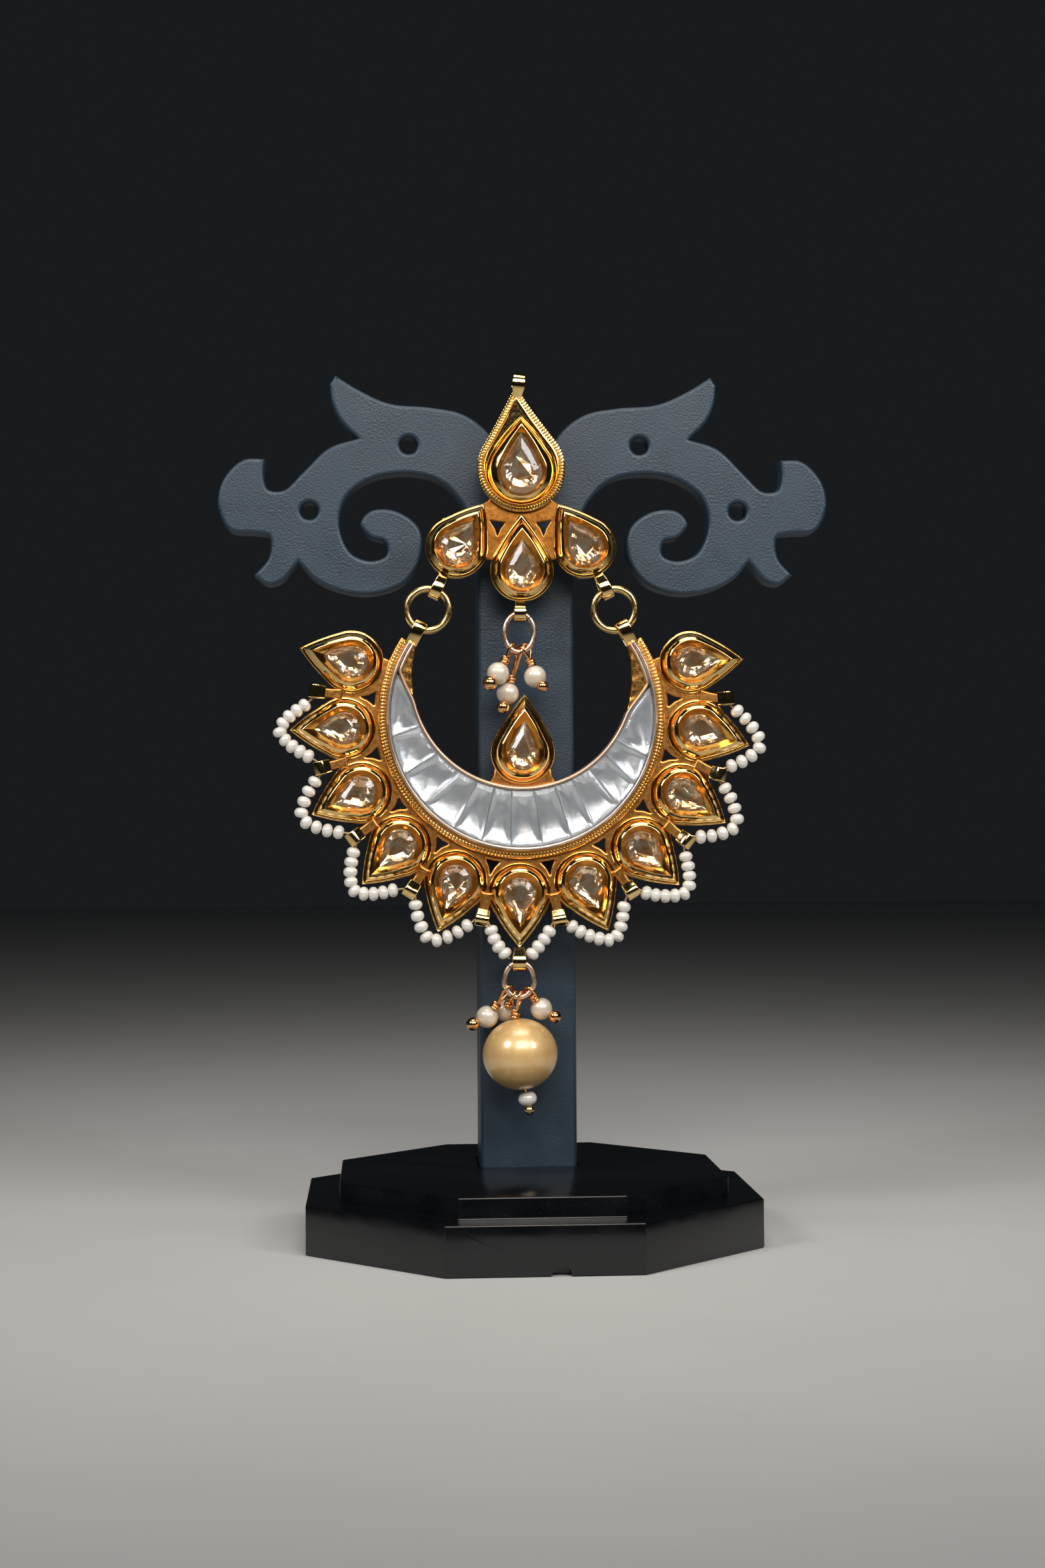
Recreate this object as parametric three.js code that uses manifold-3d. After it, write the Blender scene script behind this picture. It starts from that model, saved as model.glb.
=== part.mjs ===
// A chandbali earring hanging on its display stand, in millimetres with +Z up.
//
// The earring is kundan work: pear-shaped glass stones in raised gold settings, soldered round a crescent
// that holds a channel of thirteen clear stones. Seed beads on thread run round the petals' tips, and
// pearls hang on headpins. The stud's post goes through a hole in the stand's tree, and the crescent hangs
// from the stud on two jump rings.
//
// Every flat piece is drawn in a drawing frame: x to the right, y up from the table, z out from the metal's
// back towards the viewer. The earring and the tree are groups that turn this frame upright.
import * as THREE from "three";
import { mergeVertices } from "three/addons/utils/BufferGeometryUtils.js";
import Module from "manifold-3d";

const wasm = await Module();
wasm.setup();

// ---------- Driving dimensions ----------

// The stand: an eight-sided base in two steps, and a moulded tree of a stem and two scrolled arms.
const BASE = { lowerApothem: 29.8, lowerTop: 6.3, upperApothem: 25.4, top: 9, edge: 0.4 };
const SPRUE = { x: 2, radius: 1.2, depth: 1.5 }; // the moulding gate's half-round mark on the base's front edge
const STEM = { width: 13.1, depth: 10, front: 1.5, foot: 3.8, top: 96, clearance: 0.3 };
const ARM_THICKNESS = 4;
const ARM_HOLE_RADIUS = 1.2;
const ARM_HOLES = [
  { x: 15.8, y: 107.1 },
  { x: 29.3, y: 98.1 },
];

// Where the earring hangs: its centre line, the plane of its rings and lugs, and the metal's back behind
// that plane.
const EARRING_X = -0.9;
const HANG_Y = -4;
const HANG_HEIGHT = 1;

// Heights above the metal's back: the sheet under everything, the settings' walls, ridges, seats and
// floors.
const SHEET = 0.9;
const SETTING = { wall: 1.2, ridge: 2.5, floor: 0.7 };
const STONE = { back: 1.2, girdle: 1.6, table: 2.15, gap: 0.3, culet: 0.8, tableShare: 0.62 };

// The crescent: two circles, the inner one higher. Angles run from straight down, positive to the right.
const CRESCENT = { y: 69.9, outer: 19.2, inner: 14.63, innerRise: 5.13, horn: 123, stations: 20 };
const CHANNEL = { floor: 0.9, wallTop: 2.3, beadTop: 1.7, beadWidth: 1.1, outerWall: 0.55, innerWall: 0.68 };
// Each seam between two channel stones: its angle at the outer wall, and at the inner wall about the inner
// circle.
const STONE_TIPS = { left: -108.8, right: 102.6, radius: 16.7 };
const SEAMS = [
  { outer: -80.6, inner: -64.6 },
  { outer: -63.5, inner: -49.1 },
  { outer: -48, inner: -34.3 },
  { outer: -31.5, inner: -23.6 },
  { outer: -18.3, inner: -14.6 },
  { outer: -5.5, inner: -5.5 },
  { outer: 8.4, inner: 5.6 },
  { outer: 21.5, inner: 16.6 },
  { outer: 32.4, inner: 25.8 },
  { outer: 47.1, inner: 36 },
  { outer: 58.8, inner: 47.2 },
  { outer: 71.6, inner: 56.1 },
];

// The eleven petals, set by hand: the angle of each round end's centre and of its tip.
const PETAL = { centre: 23.8, tip: 31.1, radius: 4.2, ridge: 3.1, seat: 2.6 };
const PETALS = [
  { round: -107.7, tip: -107.1 },
  { round: -86.1, tip: -86.6 },
  { round: -64.8, tip: -65 },
  { round: -43.4, tip: -43.8 },
  { round: -22.2, tip: -21.6 },
  { round: -1.1, tip: -1 },
  { round: 20.6, tip: 21.5 },
  { round: 41.9, tip: 42.6 },
  { round: 63.6, tip: 62 },
  { round: 85, tip: 82.2 },
  { round: 107.3, tip: 104 },
];
const WEB = { inner: 18.9, outer: 24.6, end: 113 };
const PIERCED = { base: 19.8, apex: 21.6, halfWidth: 1.1 }; // the triangular gaps between ring and petals

// Lugs are short tubes whose bore lies across the pull.
const SMALL_LUG = { at: 27.5, outer: 1.2, bore: 0.8, length: 1.7, neckFrom: 24, neckWidth: 1.3 };
const SIDE_LUG = { x: 11.28, y: 86.84, lean: 24, outer: 1.45, bore: 1.14, length: 1.4 };
const HORN_LUG = { x: 13.78, y: 81.47, lean: 27, outer: 1.35, bore: 1, length: 1.6 };
const TOP_LUG = { x: -0.2, y: 114.4, outer: 1.45, bore: 0.85, length: 1.8 };
const MIDDLE_LUG = { x: -0.2, y: 83.6, outer: 1.25, bore: 0.9, length: 1.6 };
const BOTTOM_LUG = { x: -0.6, y: 36.95, outer: 1.25, bore: 0.9, length: 1.6 };

// Jump rings: half width, half height and wire radius. The first also sets the hinge at the side lugs.
const SIDE_RING = { x: 12.5, y: 84.1, halfWidth: 2.8, halfHeight: 2.8, wire: 0.5 };
const MIDDLE_RING = { x: -0.3, y: 81, halfWidth: 2, halfHeight: 2.6, wire: 0.37 };
const LOWER_RING = { x: -0.6, y: 34.6, halfWidth: 2, halfHeight: 2.3, wire: 0.38 };

// The stud: a large pear in a milgrain border above three smaller pears.
const BORDER = { x: 0.1, y: 103.1, tipX: -0.65, tipY: 114.2, radius: 5.93, top: 1.6, width: 0.75 };
const TOP_PEAR = { x: 0.1, y: 102.9, tipX: 0.1, tipY: 110.3, radius: 4.87, stretch: 1.2 };
const SIDE_PEAR = { x: 8.6, y: 92.5, tipX: 4.85, tipY: 98.35, radius: 4.2 };
const MIDDLE_PEAR = { x: 0.1, y: 89.4, tipX: 0.1, tipY: 97.25, radius: 4.3 };
const POST = { radius: 0.45, y: 100.4, length: 11.5 };
const POST_HOLE = { radius: 1.2, y: POST.y - POST.radius - STONE.gap + 1.2 };

// The pear that stands on the crescent's inner rim.
const INNER_PEAR = { x: 0.05, y: 64.95, tipX: 0.4, tipY: 72.6, radius: 4.3 };

const FOOT = { across: [-4.4, -2, 0, 2, 4.5], top: 62.6, height: 0.9 }; // the web that joins it to the rim

// Seed beads (size 11) and their thread. Each string leaves a lug, passes a petal's tip and enters the next
// lug. A row gives its petal, its beads, and the angles of its first bead, its nose and its last bead.
const BEAD = { radius: 0.96, neck: 0.4, flat: 0.34, thread: 0.2, sides: 5 };
const STRING = { end: 29, shoulder: 30.95, nose: 32.35 };
const STRINGS = [
  { petal: 2, beads: 9, first: -92.9, nose: -86.6, last: -79.4 },
  { petal: 3, beads: 8, first: -72.5, nose: -65.3, last: -57.8 },
  { petal: 4, beads: 9, first: -51.2, nose: -44.1, last: -36.8 },
  { petal: 5, beads: 8, first: -29.7, nose: -22.6, last: -15 },
  { petal: 7, beads: 9, first: 13, nose: 22, last: 27.7 },
  { petal: 8, beads: 9, first: 34.7, nose: 42.8, last: 49 },
  { petal: 9, beads: 8, first: 55.6, nose: 62.6, last: 70.1 },
  { petal: 10, beads: 8, first: 76.3, nose: 82.6, last: 91 },
];
// Two short strings of four beads run from the lugs beside the bottom petal to the bottom lug.
const SHORT_STRINGS = [
  { side: "left", lug: 5, towards: 1, route: [[-4.3, 41.25], [-3.65, 39.5], [-2.5, 38.15], [-1.9, 37.4]] },
  { side: "right", lug: 6, towards: -1, route: [[3.45, 41.05], [2.4, 39.5], [1.15, 38.05], [0.65, 37.4]] },
];

// Headpin charms: where the eye hooks on its ring (angle from the ring's bottom), the pearl and the gold
// ball.
const PIN = { eye: 0.85, wire: 0.18, wrap: 0.6, wrapLength: 0.8 };
const SMALL_PEARL = 1.5;
const UPPER_CHARMS = [
  { name: "upper_charm_left", hook: -30, pearl: [-3.2, 75.5, 1.6], ball: [-4.35, 74.1, 3.2], ballRadius: 1.05 },
  { name: "upper_charm_middle", hook: 0, pearl: [-1.85, 72.9, 0.2], ball: [-2.55, 71, 1.5], ballRadius: 0.95 },
  { name: "upper_charm_right", hook: 30, pearl: [1.8, 75.1, 0.9], ball: [2.7, 73.7, 2.5], ballRadius: 0.8 },
];
const LOWER_CHARMS = [
  { name: "lower_charm_left", hook: -52, pearl: [-4.85, 29.6, -0.5], ball: [-6.8, 28.7, 0.4], ballRadius: 0.95 },
  { name: "lower_charm_behind", hook: -24, pearl: [-2.3, 30.2, -2.4], ball: [-4.1, 28.7, -2.9], ballRadius: 0.8 },
  { name: "lower_charm_right", hook: 44, pearl: [2.4, 30.6, -0.2], ball: [4.15, 29.6, 0.7], ballRadius: 0.9 },
];
// The big pearl hangs a little askew, because the small charms lean on it.
const PEARL = { x: -0.54, y: 24.7, tilt: 9, radius: 5, height: 9.5, bore: 0.5 };
const PEARL_PIN = { hook: 4, seedRadius: 1.25, seedLength: 1.9, ballRadius: 0.7 };

// ---------- Materials ----------

const metal = (color, roughness) => new THREE.MeshStandardMaterial({ color, roughness, metalness: 1 });
const smooth = (color, roughness) => new THREE.MeshStandardMaterial({ color, roughness, metalness: 0 });
const MATERIALS = {
  gold: metal(0xd9a23c, 0.22),
  copperGold: metal(0xd98a4e, 0.28),
  champagneGlass: smooth(0xf0c59a, 0.05),
  clearGlass: smooth(0xdfe8ee, 0.04),
  champagnePearl: smooth(0xd8b27a, 0.25),
  seedBead: smooth(0xece6dc, 0.2),
  slatePlastic: smooth(0x3c4852, 0.5),
  blackPlastic: smooth(0x121416, 0.15),
};

// ---------- Solids ----------

// A closed geometry as a manifold-3d solid, with its shared vertices merged.
function solid(geometry) {
  const bare = geometry.clone();
  for (const name of Object.keys(bare.attributes)) {
    if (name !== "position") bare.deleteAttribute(name);
  }
  const merged = mergeVertices(bare, 1e-4);
  const mesh = new wasm.Mesh({
    numProp: 3,
    vertProperties: merged.attributes.position.array,
    triVerts: new Uint32Array(merged.index.array),
  });
  return new wasm.Manifold(mesh);
}

function geometryOf(body) {
  const mesh = body.getMesh();
  const geometry = new THREE.BufferGeometry();
  geometry.setAttribute("position", new THREE.BufferAttribute(mesh.vertProperties, 3));
  geometry.setIndex(new THREE.BufferAttribute(mesh.triVerts, 1));
  geometry.computeVertexNormals();
  return geometry;
}

const join = (bodies) => bodies.reduce((whole, body) => whole.add(body));
const cut = (body, tools) => tools.reduce((rest, tool) => rest.subtract(tool), body);

// A closed solid through loops of equal length, in order along its length and each counter-clockwise seen
// from its far end. The end caps are triangulated in the plane that flat gives.
function loft(loops, flat = (p) => new THREE.Vector2(p.x, p.y)) {
  const count = loops[0].length;
  const last = (loops.length - 1) * count;
  const index = [];
  for (let start = 0; start < last; start += count) {
    for (let j = 0; j < count; j++) {
      const a = start + j;
      const b = start + ((j + 1) % count);
      index.push(a, b, b + count, a, b + count, a + count);
    }
  }
  const cap = (loop) => THREE.ShapeUtils.triangulateShape(loop.map(flat), []);
  for (const [a, b, c] of cap(loops[0])) index.push(c, b, a);
  for (const [a, b, c] of cap(loops.at(-1))) index.push(last + a, last + b, last + c);
  const geometry = new THREE.BufferGeometry().setFromPoints(loops.flat());
  geometry.setIndex(index);
  return geometry;
}

const radians = THREE.MathUtils.degToRad;

// A point at an angle from straight down, positive to the right, about (x, y).
function polar(radius, degrees, x = 0, y = CRESCENT.y) {
  return new THREE.Vector2(x + radius * Math.sin(radians(degrees)), y - radius * Math.cos(radians(degrees)));
}

// A plate: points in the drawing plane, from one height to another.
function plate(points, from, to) {
  const at = (z) => points.map((p) => new THREE.Vector3(p.x, p.y, z));
  return loft([at(from), at(to)]);
}

// A straight bar between two points of the drawing plane, centred on the hang plane.
function neck(from, to, width, thickness = 1) {
  const across = new THREE.Vector2(from.y - to.y, to.x - from.x).setLength(width / 2);
  const start = [from.clone().add(across), from.clone().sub(across)];
  const points = [...start, to.clone().sub(across), to.clone().add(across)];
  return plate(points, HANG_HEIGHT - thickness / 2, HANG_HEIGHT + thickness / 2);
}

// A lug's tube or its bore: a cylinder in the hang plane whose axis leans from the horizontal.
function tube(x, y, lean, radius, length, sides = 8) {
  return new THREE.CylinderGeometry(radius, radius, length, sides)
    .rotateY(Math.PI / sides)
    .rotateZ(radians(lean) + Math.PI / 2)
    .translate(x, y, HANG_HEIGHT);
}

const lugBarrel = ({ x, y, lean = 0, outer, length }) => tube(x, y, lean, outer, length);
const lugBore = ({ x, y, lean = 0, bore, length }) => tube(x, y, lean, bore, 2 * length);
const mirrored = (lug, side) => ({ ...lug, x: side * lug.x, lean: side * lug.lean });

// ---------- Pear settings and stones ----------

const PEAR_STEPS = 8;

// A pear outline: a round end about the origin, and a tip at reach along +Y.
function pearLoop(radius, reach, height) {
  const open = Math.acos(radius / reach);
  const loop = [];
  for (let i = 0; i <= PEAR_STEPS; i++) {
    const a = open + ((2 * Math.PI - 2 * open) * i) / PEAR_STEPS;
    loop.push(new THREE.Vector3(-radius * Math.sin(a), radius * Math.cos(a), height));
  }
  loop.push(new THREE.Vector3(0, reach, height));
  return loop;
}

// Turns and moves a pear so that its round end is at (x, y) and its tip points to (tipX, tipY).
function placePear(geometry, { x, y, tipX = x, tipY = y + 1 }) {
  return geometry.rotateZ(Math.atan2(tipY - y, tipX - x) - Math.PI / 2).translate(x, y, 0);
}

const reachOf = ({ x, y, tipX, tipY }) => Math.hypot(tipX - x, tipY - y);

// A pear's levels, each a size and a height, at its place. A pear may be stretched along its tip.
function pearForm(place, levels) {
  const reach = reachOf(place);
  const loops = levels.map(({ size, height, stretch = 1 }) =>
    pearLoop(place.radius * size, reach * size * stretch, height),
  );
  return placePear(loft(loops), place);
}

// A raised setting: a wall, a bevel up to the ridge, and a steep bevel down into the stone's pocket. The
// stretch makes the ridge and the pocket longer than the outside.
function setting(place) {
  const { stretch } = place;
  return pearForm(place, [
    { size: 1, height: 0 },
    { size: 1, height: SETTING.wall },
    { size: PETAL.ridge / PETAL.radius, height: SETTING.ridge, stretch },
    { size: PETAL.seat / PETAL.radius, height: SETTING.floor, stretch },
  ]);
}

// A faceted pear stone that lies in such a setting with a small gap.
function pearStone(place) {
  const { stretch } = place;
  const size = PETAL.seat / PETAL.radius - STONE.gap / place.radius;
  return pearForm(place, [
    { size: size * STONE.culet, height: STONE.back, stretch },
    { size, height: STONE.girdle, stretch },
    { size: size * STONE.tableShare, height: STONE.table, stretch },
  ]);
}

// ---------- The stand ----------

function makeBase() {
  const corner = 1 / Math.cos(Math.PI / 8);
  const lower = BASE.lowerApothem * corner;
  const upper = BASE.upperApothem * corner;
  const profile = [
    [0, 0],
    [lower, 0],
    [lower, BASE.lowerTop - BASE.edge],
    [lower - BASE.edge, BASE.lowerTop],
    [upper, BASE.lowerTop],
    [upper, BASE.top - BASE.edge],
    [upper - BASE.edge, BASE.top],
    [0, BASE.top],
  ].map(([x, y]) => new THREE.Vector2(x, y));
  const steps = new THREE.LatheGeometry(profile, 8, Math.PI / 8).rotateX(Math.PI / 2);
  const socket = new THREE.BoxGeometry(
    STEM.width + 2 * STEM.clearance,
    STEM.depth + 2 * STEM.clearance,
    2 * (BASE.top - STEM.foot + STEM.clearance),
  ).translate(0, STEM.front + STEM.depth / 2, BASE.top);
  const sprue = new THREE.CylinderGeometry(SPRUE.radius, SPRUE.radius, 2 * SPRUE.depth, 10)
    .translate(SPRUE.x, -BASE.lowerApothem, 0);
  return geometryOf(cut(solid(steps), [solid(socket), solid(sprue)]));
}

// The right half of the tree's front outline, from the valley between the arms round to the stem's side.
// Each row is one run that ends at a sharp corner.
const ARM_RUNS = [
  {
    part: "top edge",
    points: [
      [0, 104], [3, 106.1], [5.2, 109.2], [8.4, 111.4], [12.9, 112.3], [18.3, 112.8], [22.6, 114.7], [25.7, 116.6],
    ],
  },
  { part: "leaf tip", points: [[25.7, 116.6], [26.5, 115.4]] },
  { part: "leaf underside", points: [[26.5, 115.4], [26.2, 112.9], [25, 110.3], [22.7, 108]] },
  {
    part: "shoulder",
    points: [[22.7, 108], [26.6, 106.7], [30.2, 103.3], [32.8, 100.9], [34.8, 101], [35.4, 102.8], [35.2, 105.2]],
  },
  {
    part: "end lobe",
    points: [
      [35.2, 105.2], [38.3, 105], [41, 102.2], [41.7, 98.6], [40, 95.4], [36.6, 95], [34.8, 94.6], [34.8, 91.8],
      [36.8, 89.3],
    ],
  },
  { part: "lower leaf", points: [[36.8, 89.3], [35, 88], [33, 88.5], [30.8, 91.1]] },
  {
    part: "scroll",
    points: [
      [30.8, 91.1], [28.6, 88.7], [25, 87.1], [20.8, 86.7], [16.5, 88.2], [14.1, 91.8], [14.5, 95.9], [17.6, 98.1],
      [21, 98.1], [22.4, 96.3], [21, 94.5], [19.1, 93.9], [18.9, 92.1], [21, 91.3], [23.7, 92.4], [25.2, 96.2],
      [24.3, 99.9], [21.2, 102.3], [16.5, 103.2], [11.9, 102.3], [8.9, 99.5], [6.5, 94.5],
    ],
  },
];

function makeTree() {
  const half = ARM_RUNS.flatMap(({ points }) => points.slice(0, -1)).map(([x, y]) => new THREE.Vector2(x, y));
  const foot = [new THREE.Vector2(STEM.width / 2 - 0.05, 94), new THREE.Vector2(STEM.width / 2 - 0.05, 80)];
  const right = [...half, ...foot];
  const left = right.slice(1).map((p) => new THREE.Vector2(-p.x, p.y)).reverse();
  const outline = [...right, ...left].reverse();
  const arms = plate(outline, STEM.depth - ARM_THICKNESS, STEM.depth);
  const stem = new THREE.BoxGeometry(STEM.width, STEM.top - STEM.foot, STEM.depth)
    .translate(0, (STEM.top + STEM.foot) / 2, STEM.depth / 2);
  const hole = (x, y, radius) =>
    new THREE.CylinderGeometry(radius, radius, 4 * STEM.depth, 8).rotateX(Math.PI / 2).translate(x, y, 0);
  const holes = ARM_HOLES.flatMap(({ x, y }) => [hole(x, y, ARM_HOLE_RADIUS), hole(-x, y, ARM_HOLE_RADIUS)]);
  holes.push(hole(EARRING_X, POST_HOLE.y, POST_HOLE.radius));
  return geometryOf(cut(join([solid(stem), solid(arms)]), holes.map(solid)));
}

// ---------- The stud ----------

function makeStud() {
  const rim = (inset) => 1 - inset / BORDER.radius;
  const borderLevels = [
    { size: 1, height: 0 },
    { size: 1, height: BORDER.top - 0.3 },
    { size: rim(0.25), height: BORDER.top },
    { size: rim(BORDER.width), height: BORDER.top },
    { size: rim(BORDER.width + 0.15), height: SETTING.floor },
  ];
  const borderPlate = pearForm(BORDER, borderLevels);
  const sides = [-1, 1].map((side) => ({ ...SIDE_PEAR, x: side * SIDE_PEAR.x, tipX: side * SIDE_PEAR.tipX }));
  const pears = [TOP_PEAR, ...sides, MIDDLE_PEAR].map(setting);
  const web = [
    [-8, 94.5], [-5.2, 91], [0, 90], [5.2, 91], [8, 94.5],
    [5.1, 98.3], [3.5, 99.5], [-3.5, 99.5], [-5.1, 98.3],
  ];
  const webPlate = plate(web.map(([x, y]) => new THREE.Vector2(x, y)), 0, SHEET);
  const pierced = [-1, 1].map((side) => {
    const corners = [[3.9, 95.9], [2.1, 95.7], [2.9, 94.1]].map(([x, y]) => new THREE.Vector2(side * x, y));
    return plate(side < 0 ? corners.reverse() : corners, -1, 2 * SHEET);
  });
  const allLugs = [TOP_LUG, MIDDLE_LUG, mirrored(SIDE_LUG, -1), mirrored(SIDE_LUG, 1)];
  const lugs = allLugs.map(lugBarrel);
  const bores = allLugs.map(lugBore);
  const necks = [
    neck(new THREE.Vector2(MIDDLE_LUG.x, 86), new THREE.Vector2(MIDDLE_LUG.x, MIDDLE_LUG.y + 0.9), 1.3),
    ...[-1, 1].map((side) =>
      neck(
        new THREE.Vector2(side * 9.9, 89.7),
        new THREE.Vector2(side * (SIDE_LUG.x - 0.45), SIDE_LUG.y + 1),
        1.2,
      ),
    ),
  ];
  const post = new THREE.CylinderGeometry(POST.radius, POST.radius, POST.length + SHEET, 6)
    .rotateX(Math.PI / 2)
    .translate(0, POST.y, (SHEET - POST.length) / 2);
  const parts = [borderPlate, webPlate, ...pears, ...lugs, ...necks, post];
  return geometryOf(cut(join(parts.map(solid)), [...pierced, ...bores].map(solid)));
}

// ---------- The crescent ----------

// How far the inner circle lies from the crescent's centre along an angle.
function innerReach(degrees) {
  const drop = CRESCENT.innerRise * Math.cos(radians(degrees));
  return -drop + Math.sqrt(drop ** 2 + CRESCENT.inner ** 2 - CRESCENT.innerRise ** 2);
}

// The crescent's own metal: sheet, milgrain band, and two walls with the stones' channel between them. Past
// the last stones the channel is filled and the horns are solid.
function makeCrescentBand() {
  const step = (2 * CRESCENT.horn) / CRESCENT.stations;
  const angles = Array.from({ length: CRESCENT.stations + 1 }, (_, i) => i * step - CRESCENT.horn);
  const ends = [STONE_TIPS.left - 1.5, STONE_TIPS.left - 1, STONE_TIPS.right + 1, STONE_TIPS.right + 1.5];
  const clear = angles.filter((a) => ends.every((e) => Math.abs(a - e) > 1.5));
  const stations = [...clear, ...ends].sort((a, b) => a - b);
  const loops = stations.map((a) => {
    const filled = a < ends[1] || a > ends[2];
    const floor = filled ? CHANNEL.wallTop - 0.4 : CHANNEL.floor;
    const wall = CRESCENT.outer - CHANNEL.beadWidth;
    const inner = innerReach(a);
    const section = [
      [inner, 0],
      [inner, CHANNEL.wallTop],
      [inner + CHANNEL.innerWall, CHANNEL.wallTop],
      [inner + CHANNEL.innerWall, floor],
      [wall - CHANNEL.outerWall, floor],
      [wall - CHANNEL.outerWall, CHANNEL.wallTop],
      [wall, CHANNEL.wallTop],
      [wall, CHANNEL.beadTop],
      [CRESCENT.outer, CHANNEL.beadTop - 0.3],
      [CRESCENT.outer, 0],
    ];
    return section.map(([radius, z]) => {
      const p = polar(radius, a);
      return new THREE.Vector3(p.x, p.y, z);
    });
  });
  const flat = (p) => new THREE.Vector2(-Math.hypot(p.x, p.y - CRESCENT.y), p.z);
  return loft(loops, flat);
}

// The sheet between the crescent and the petals' round ends, and the triangular gaps that pierce it.
function makeWeb() {
  const count = 16;
  const edge = (radius) =>
    Array.from({ length: count + 1 }, (_, i) => polar(radius, WEB.end * ((2 * i) / count - 1)));
  return plate([...edge(WEB.outer), ...edge(WEB.inner).reverse()], 0, SHEET);
}

const between = (k) => ({
  root: (PETALS[k].round + PETALS[k + 1].round) / 2,
  notch: (PETALS[k].tip + PETALS[k + 1].tip + PETALS[k].round + PETALS[k + 1].round) / 4,
});

function piercedGap(k) {
  const middle = between(k).root;
  const half = (PIERCED.halfWidth / PIERCED.base) * (180 / Math.PI);
  const corners = [
    polar(PIERCED.base, middle + half),
    polar(PIERCED.base, middle - half),
    polar(PIERCED.apex, middle),
  ];
  return plate(corners, -SHEET, 2 * SHEET);
}

const petalPlace = ({ round, tip }) => {
  const centre = polar(PETAL.centre, round);
  const point = polar(PETAL.tip, tip);
  return { x: centre.x, y: centre.y, tipX: point.x, tipY: point.y, radius: PETAL.radius };
};

function smallLug(k, radius, length) {
  const angle = between(k).notch;
  const p = polar(SMALL_LUG.at, angle);
  return tube(p.x, p.y, angle, radius, length, 6);
}

function makeCrescent() {
  const gaps = PETALS.slice(1).map((_, k) => k);
  const sides = [-1, 1];
  const hornEnd = (side) => polar(CRESCENT.outer - 1.6, side * (CRESCENT.horn - 3));
  const otherLugs = [mirrored(HORN_LUG, -1), mirrored(HORN_LUG, 1), BOTTOM_LUG];
  const lugs = [
    ...gaps.map((k) => smallLug(k, SMALL_LUG.outer, SMALL_LUG.length)),
    ...otherLugs.map(lugBarrel),
  ];
  const bores = [
    ...gaps.map((k) => smallLug(k, SMALL_LUG.bore, 2 * SMALL_LUG.length)),
    ...otherLugs.map(lugBore),
  ];
  const necks = [
    ...gaps.map((k) => {
      const angle = between(k).notch;
      const end = polar(SMALL_LUG.at - (SMALL_LUG.outer + SMALL_LUG.bore) / 2, angle);
      return neck(polar(SMALL_LUG.neckFrom, between(k).root), end, SMALL_LUG.neckWidth);
    }),
    ...sides.map((s) =>
      neck(hornEnd(s), new THREE.Vector2(s * (HORN_LUG.x + 0.5), HORN_LUG.y - 1), 1.5),
    ),
    neck(polar(PETAL.tip - 1.5, -1), new THREE.Vector2(BOTTOM_LUG.x, BOTTOM_LUG.y + 0.95), 0.9),
  ];
  const rim = (x) => CRESCENT.y + CRESCENT.innerRise - Math.sqrt(CRESCENT.inner ** 2 - x ** 2);
  const bottom = FOOT.across.map((x) => [x, rim(x) - 0.3]);
  const foot = [...bottom, [FOOT.across.at(-1), FOOT.top], [FOOT.across[0], FOOT.top]];
  const footPlate = plate(foot.map(([x, y]) => new THREE.Vector2(x, y)), 0, FOOT.height);
  const settings = [...PETALS.map(petalPlace), INNER_PEAR].map(setting);
  const web = cut(solid(makeWeb()), gaps.map((k) => solid(piercedGap(k))));
  const parts = [makeCrescentBand(), footPlate, ...settings, ...lugs, ...necks].map(solid);
  return geometryOf(cut(join([web, ...parts]), bores.map(solid)));
}

// The two ends of each seam in the channel, and the points where the end stones run out.
function seamEnds() {
  const centre = CRESCENT.y + CRESCENT.innerRise;
  const outerRadius = CRESCENT.outer - CHANNEL.beadWidth - CHANNEL.outerWall - STONE.gap;
  const innerRadius = CRESCENT.inner + CHANNEL.innerWall + STONE.gap;
  const tip = (angle) => {
    const point = polar(STONE_TIPS.radius, angle);
    return { outer: point, inner: point, outerAngle: angle, innerAngle: Math.sign(angle) * 93 };
  };
  const seams = SEAMS.map(({ outer, inner }) => ({
    outer: polar(outerRadius, outer),
    inner: polar(innerRadius, inner, 0, centre),
    outerAngle: outer,
    innerAngle: inner,
  }));
  return [tip(STONE_TIPS.left), ...seams, tip(STONE_TIPS.right)];
}

// One channel stone: a wedge between two seams, with a table smaller than its girdle.
function channelStone(left, right) {
  const centre = CRESCENT.y + CRESCENT.innerRise;
  const outerRadius = CRESCENT.outer - CHANNEL.beadWidth - CHANNEL.outerWall - STONE.gap;
  const innerRadius = CRESCENT.inner + CHANNEL.innerWall + STONE.gap;
  const along = (from, to, amount) => from.clone().add(to.clone().sub(from).setLength(amount));
  const middleOuter = polar(outerRadius, (left.outerAngle + right.outerAngle) / 2);
  const middleInner = polar(innerRadius, (left.innerAngle + right.innerAngle) / 2, 0, centre);
  const half = STONE.gap / 2;
  const outline = [
    along(left.outer, middleOuter, half),
    middleOuter,
    along(right.outer, middleOuter, half),
    along(right.inner, middleInner, half),
    middleInner,
    along(left.inner, middleInner, half),
  ];
  const heart = outline.reduce((sum, p) => sum.add(p), new THREE.Vector2()).divideScalar(outline.length);
  const level = (size, height) =>
    outline.map((p) => {
      const q = p.clone().sub(heart).multiplyScalar(size).add(heart);
      return new THREE.Vector3(q.x, q.y, height);
    });
  return loft([level(1, STONE.back), level(1, STONE.girdle), level(0.62, STONE.table)]);
}

// ---------- Rings, beads and charms ----------

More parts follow.
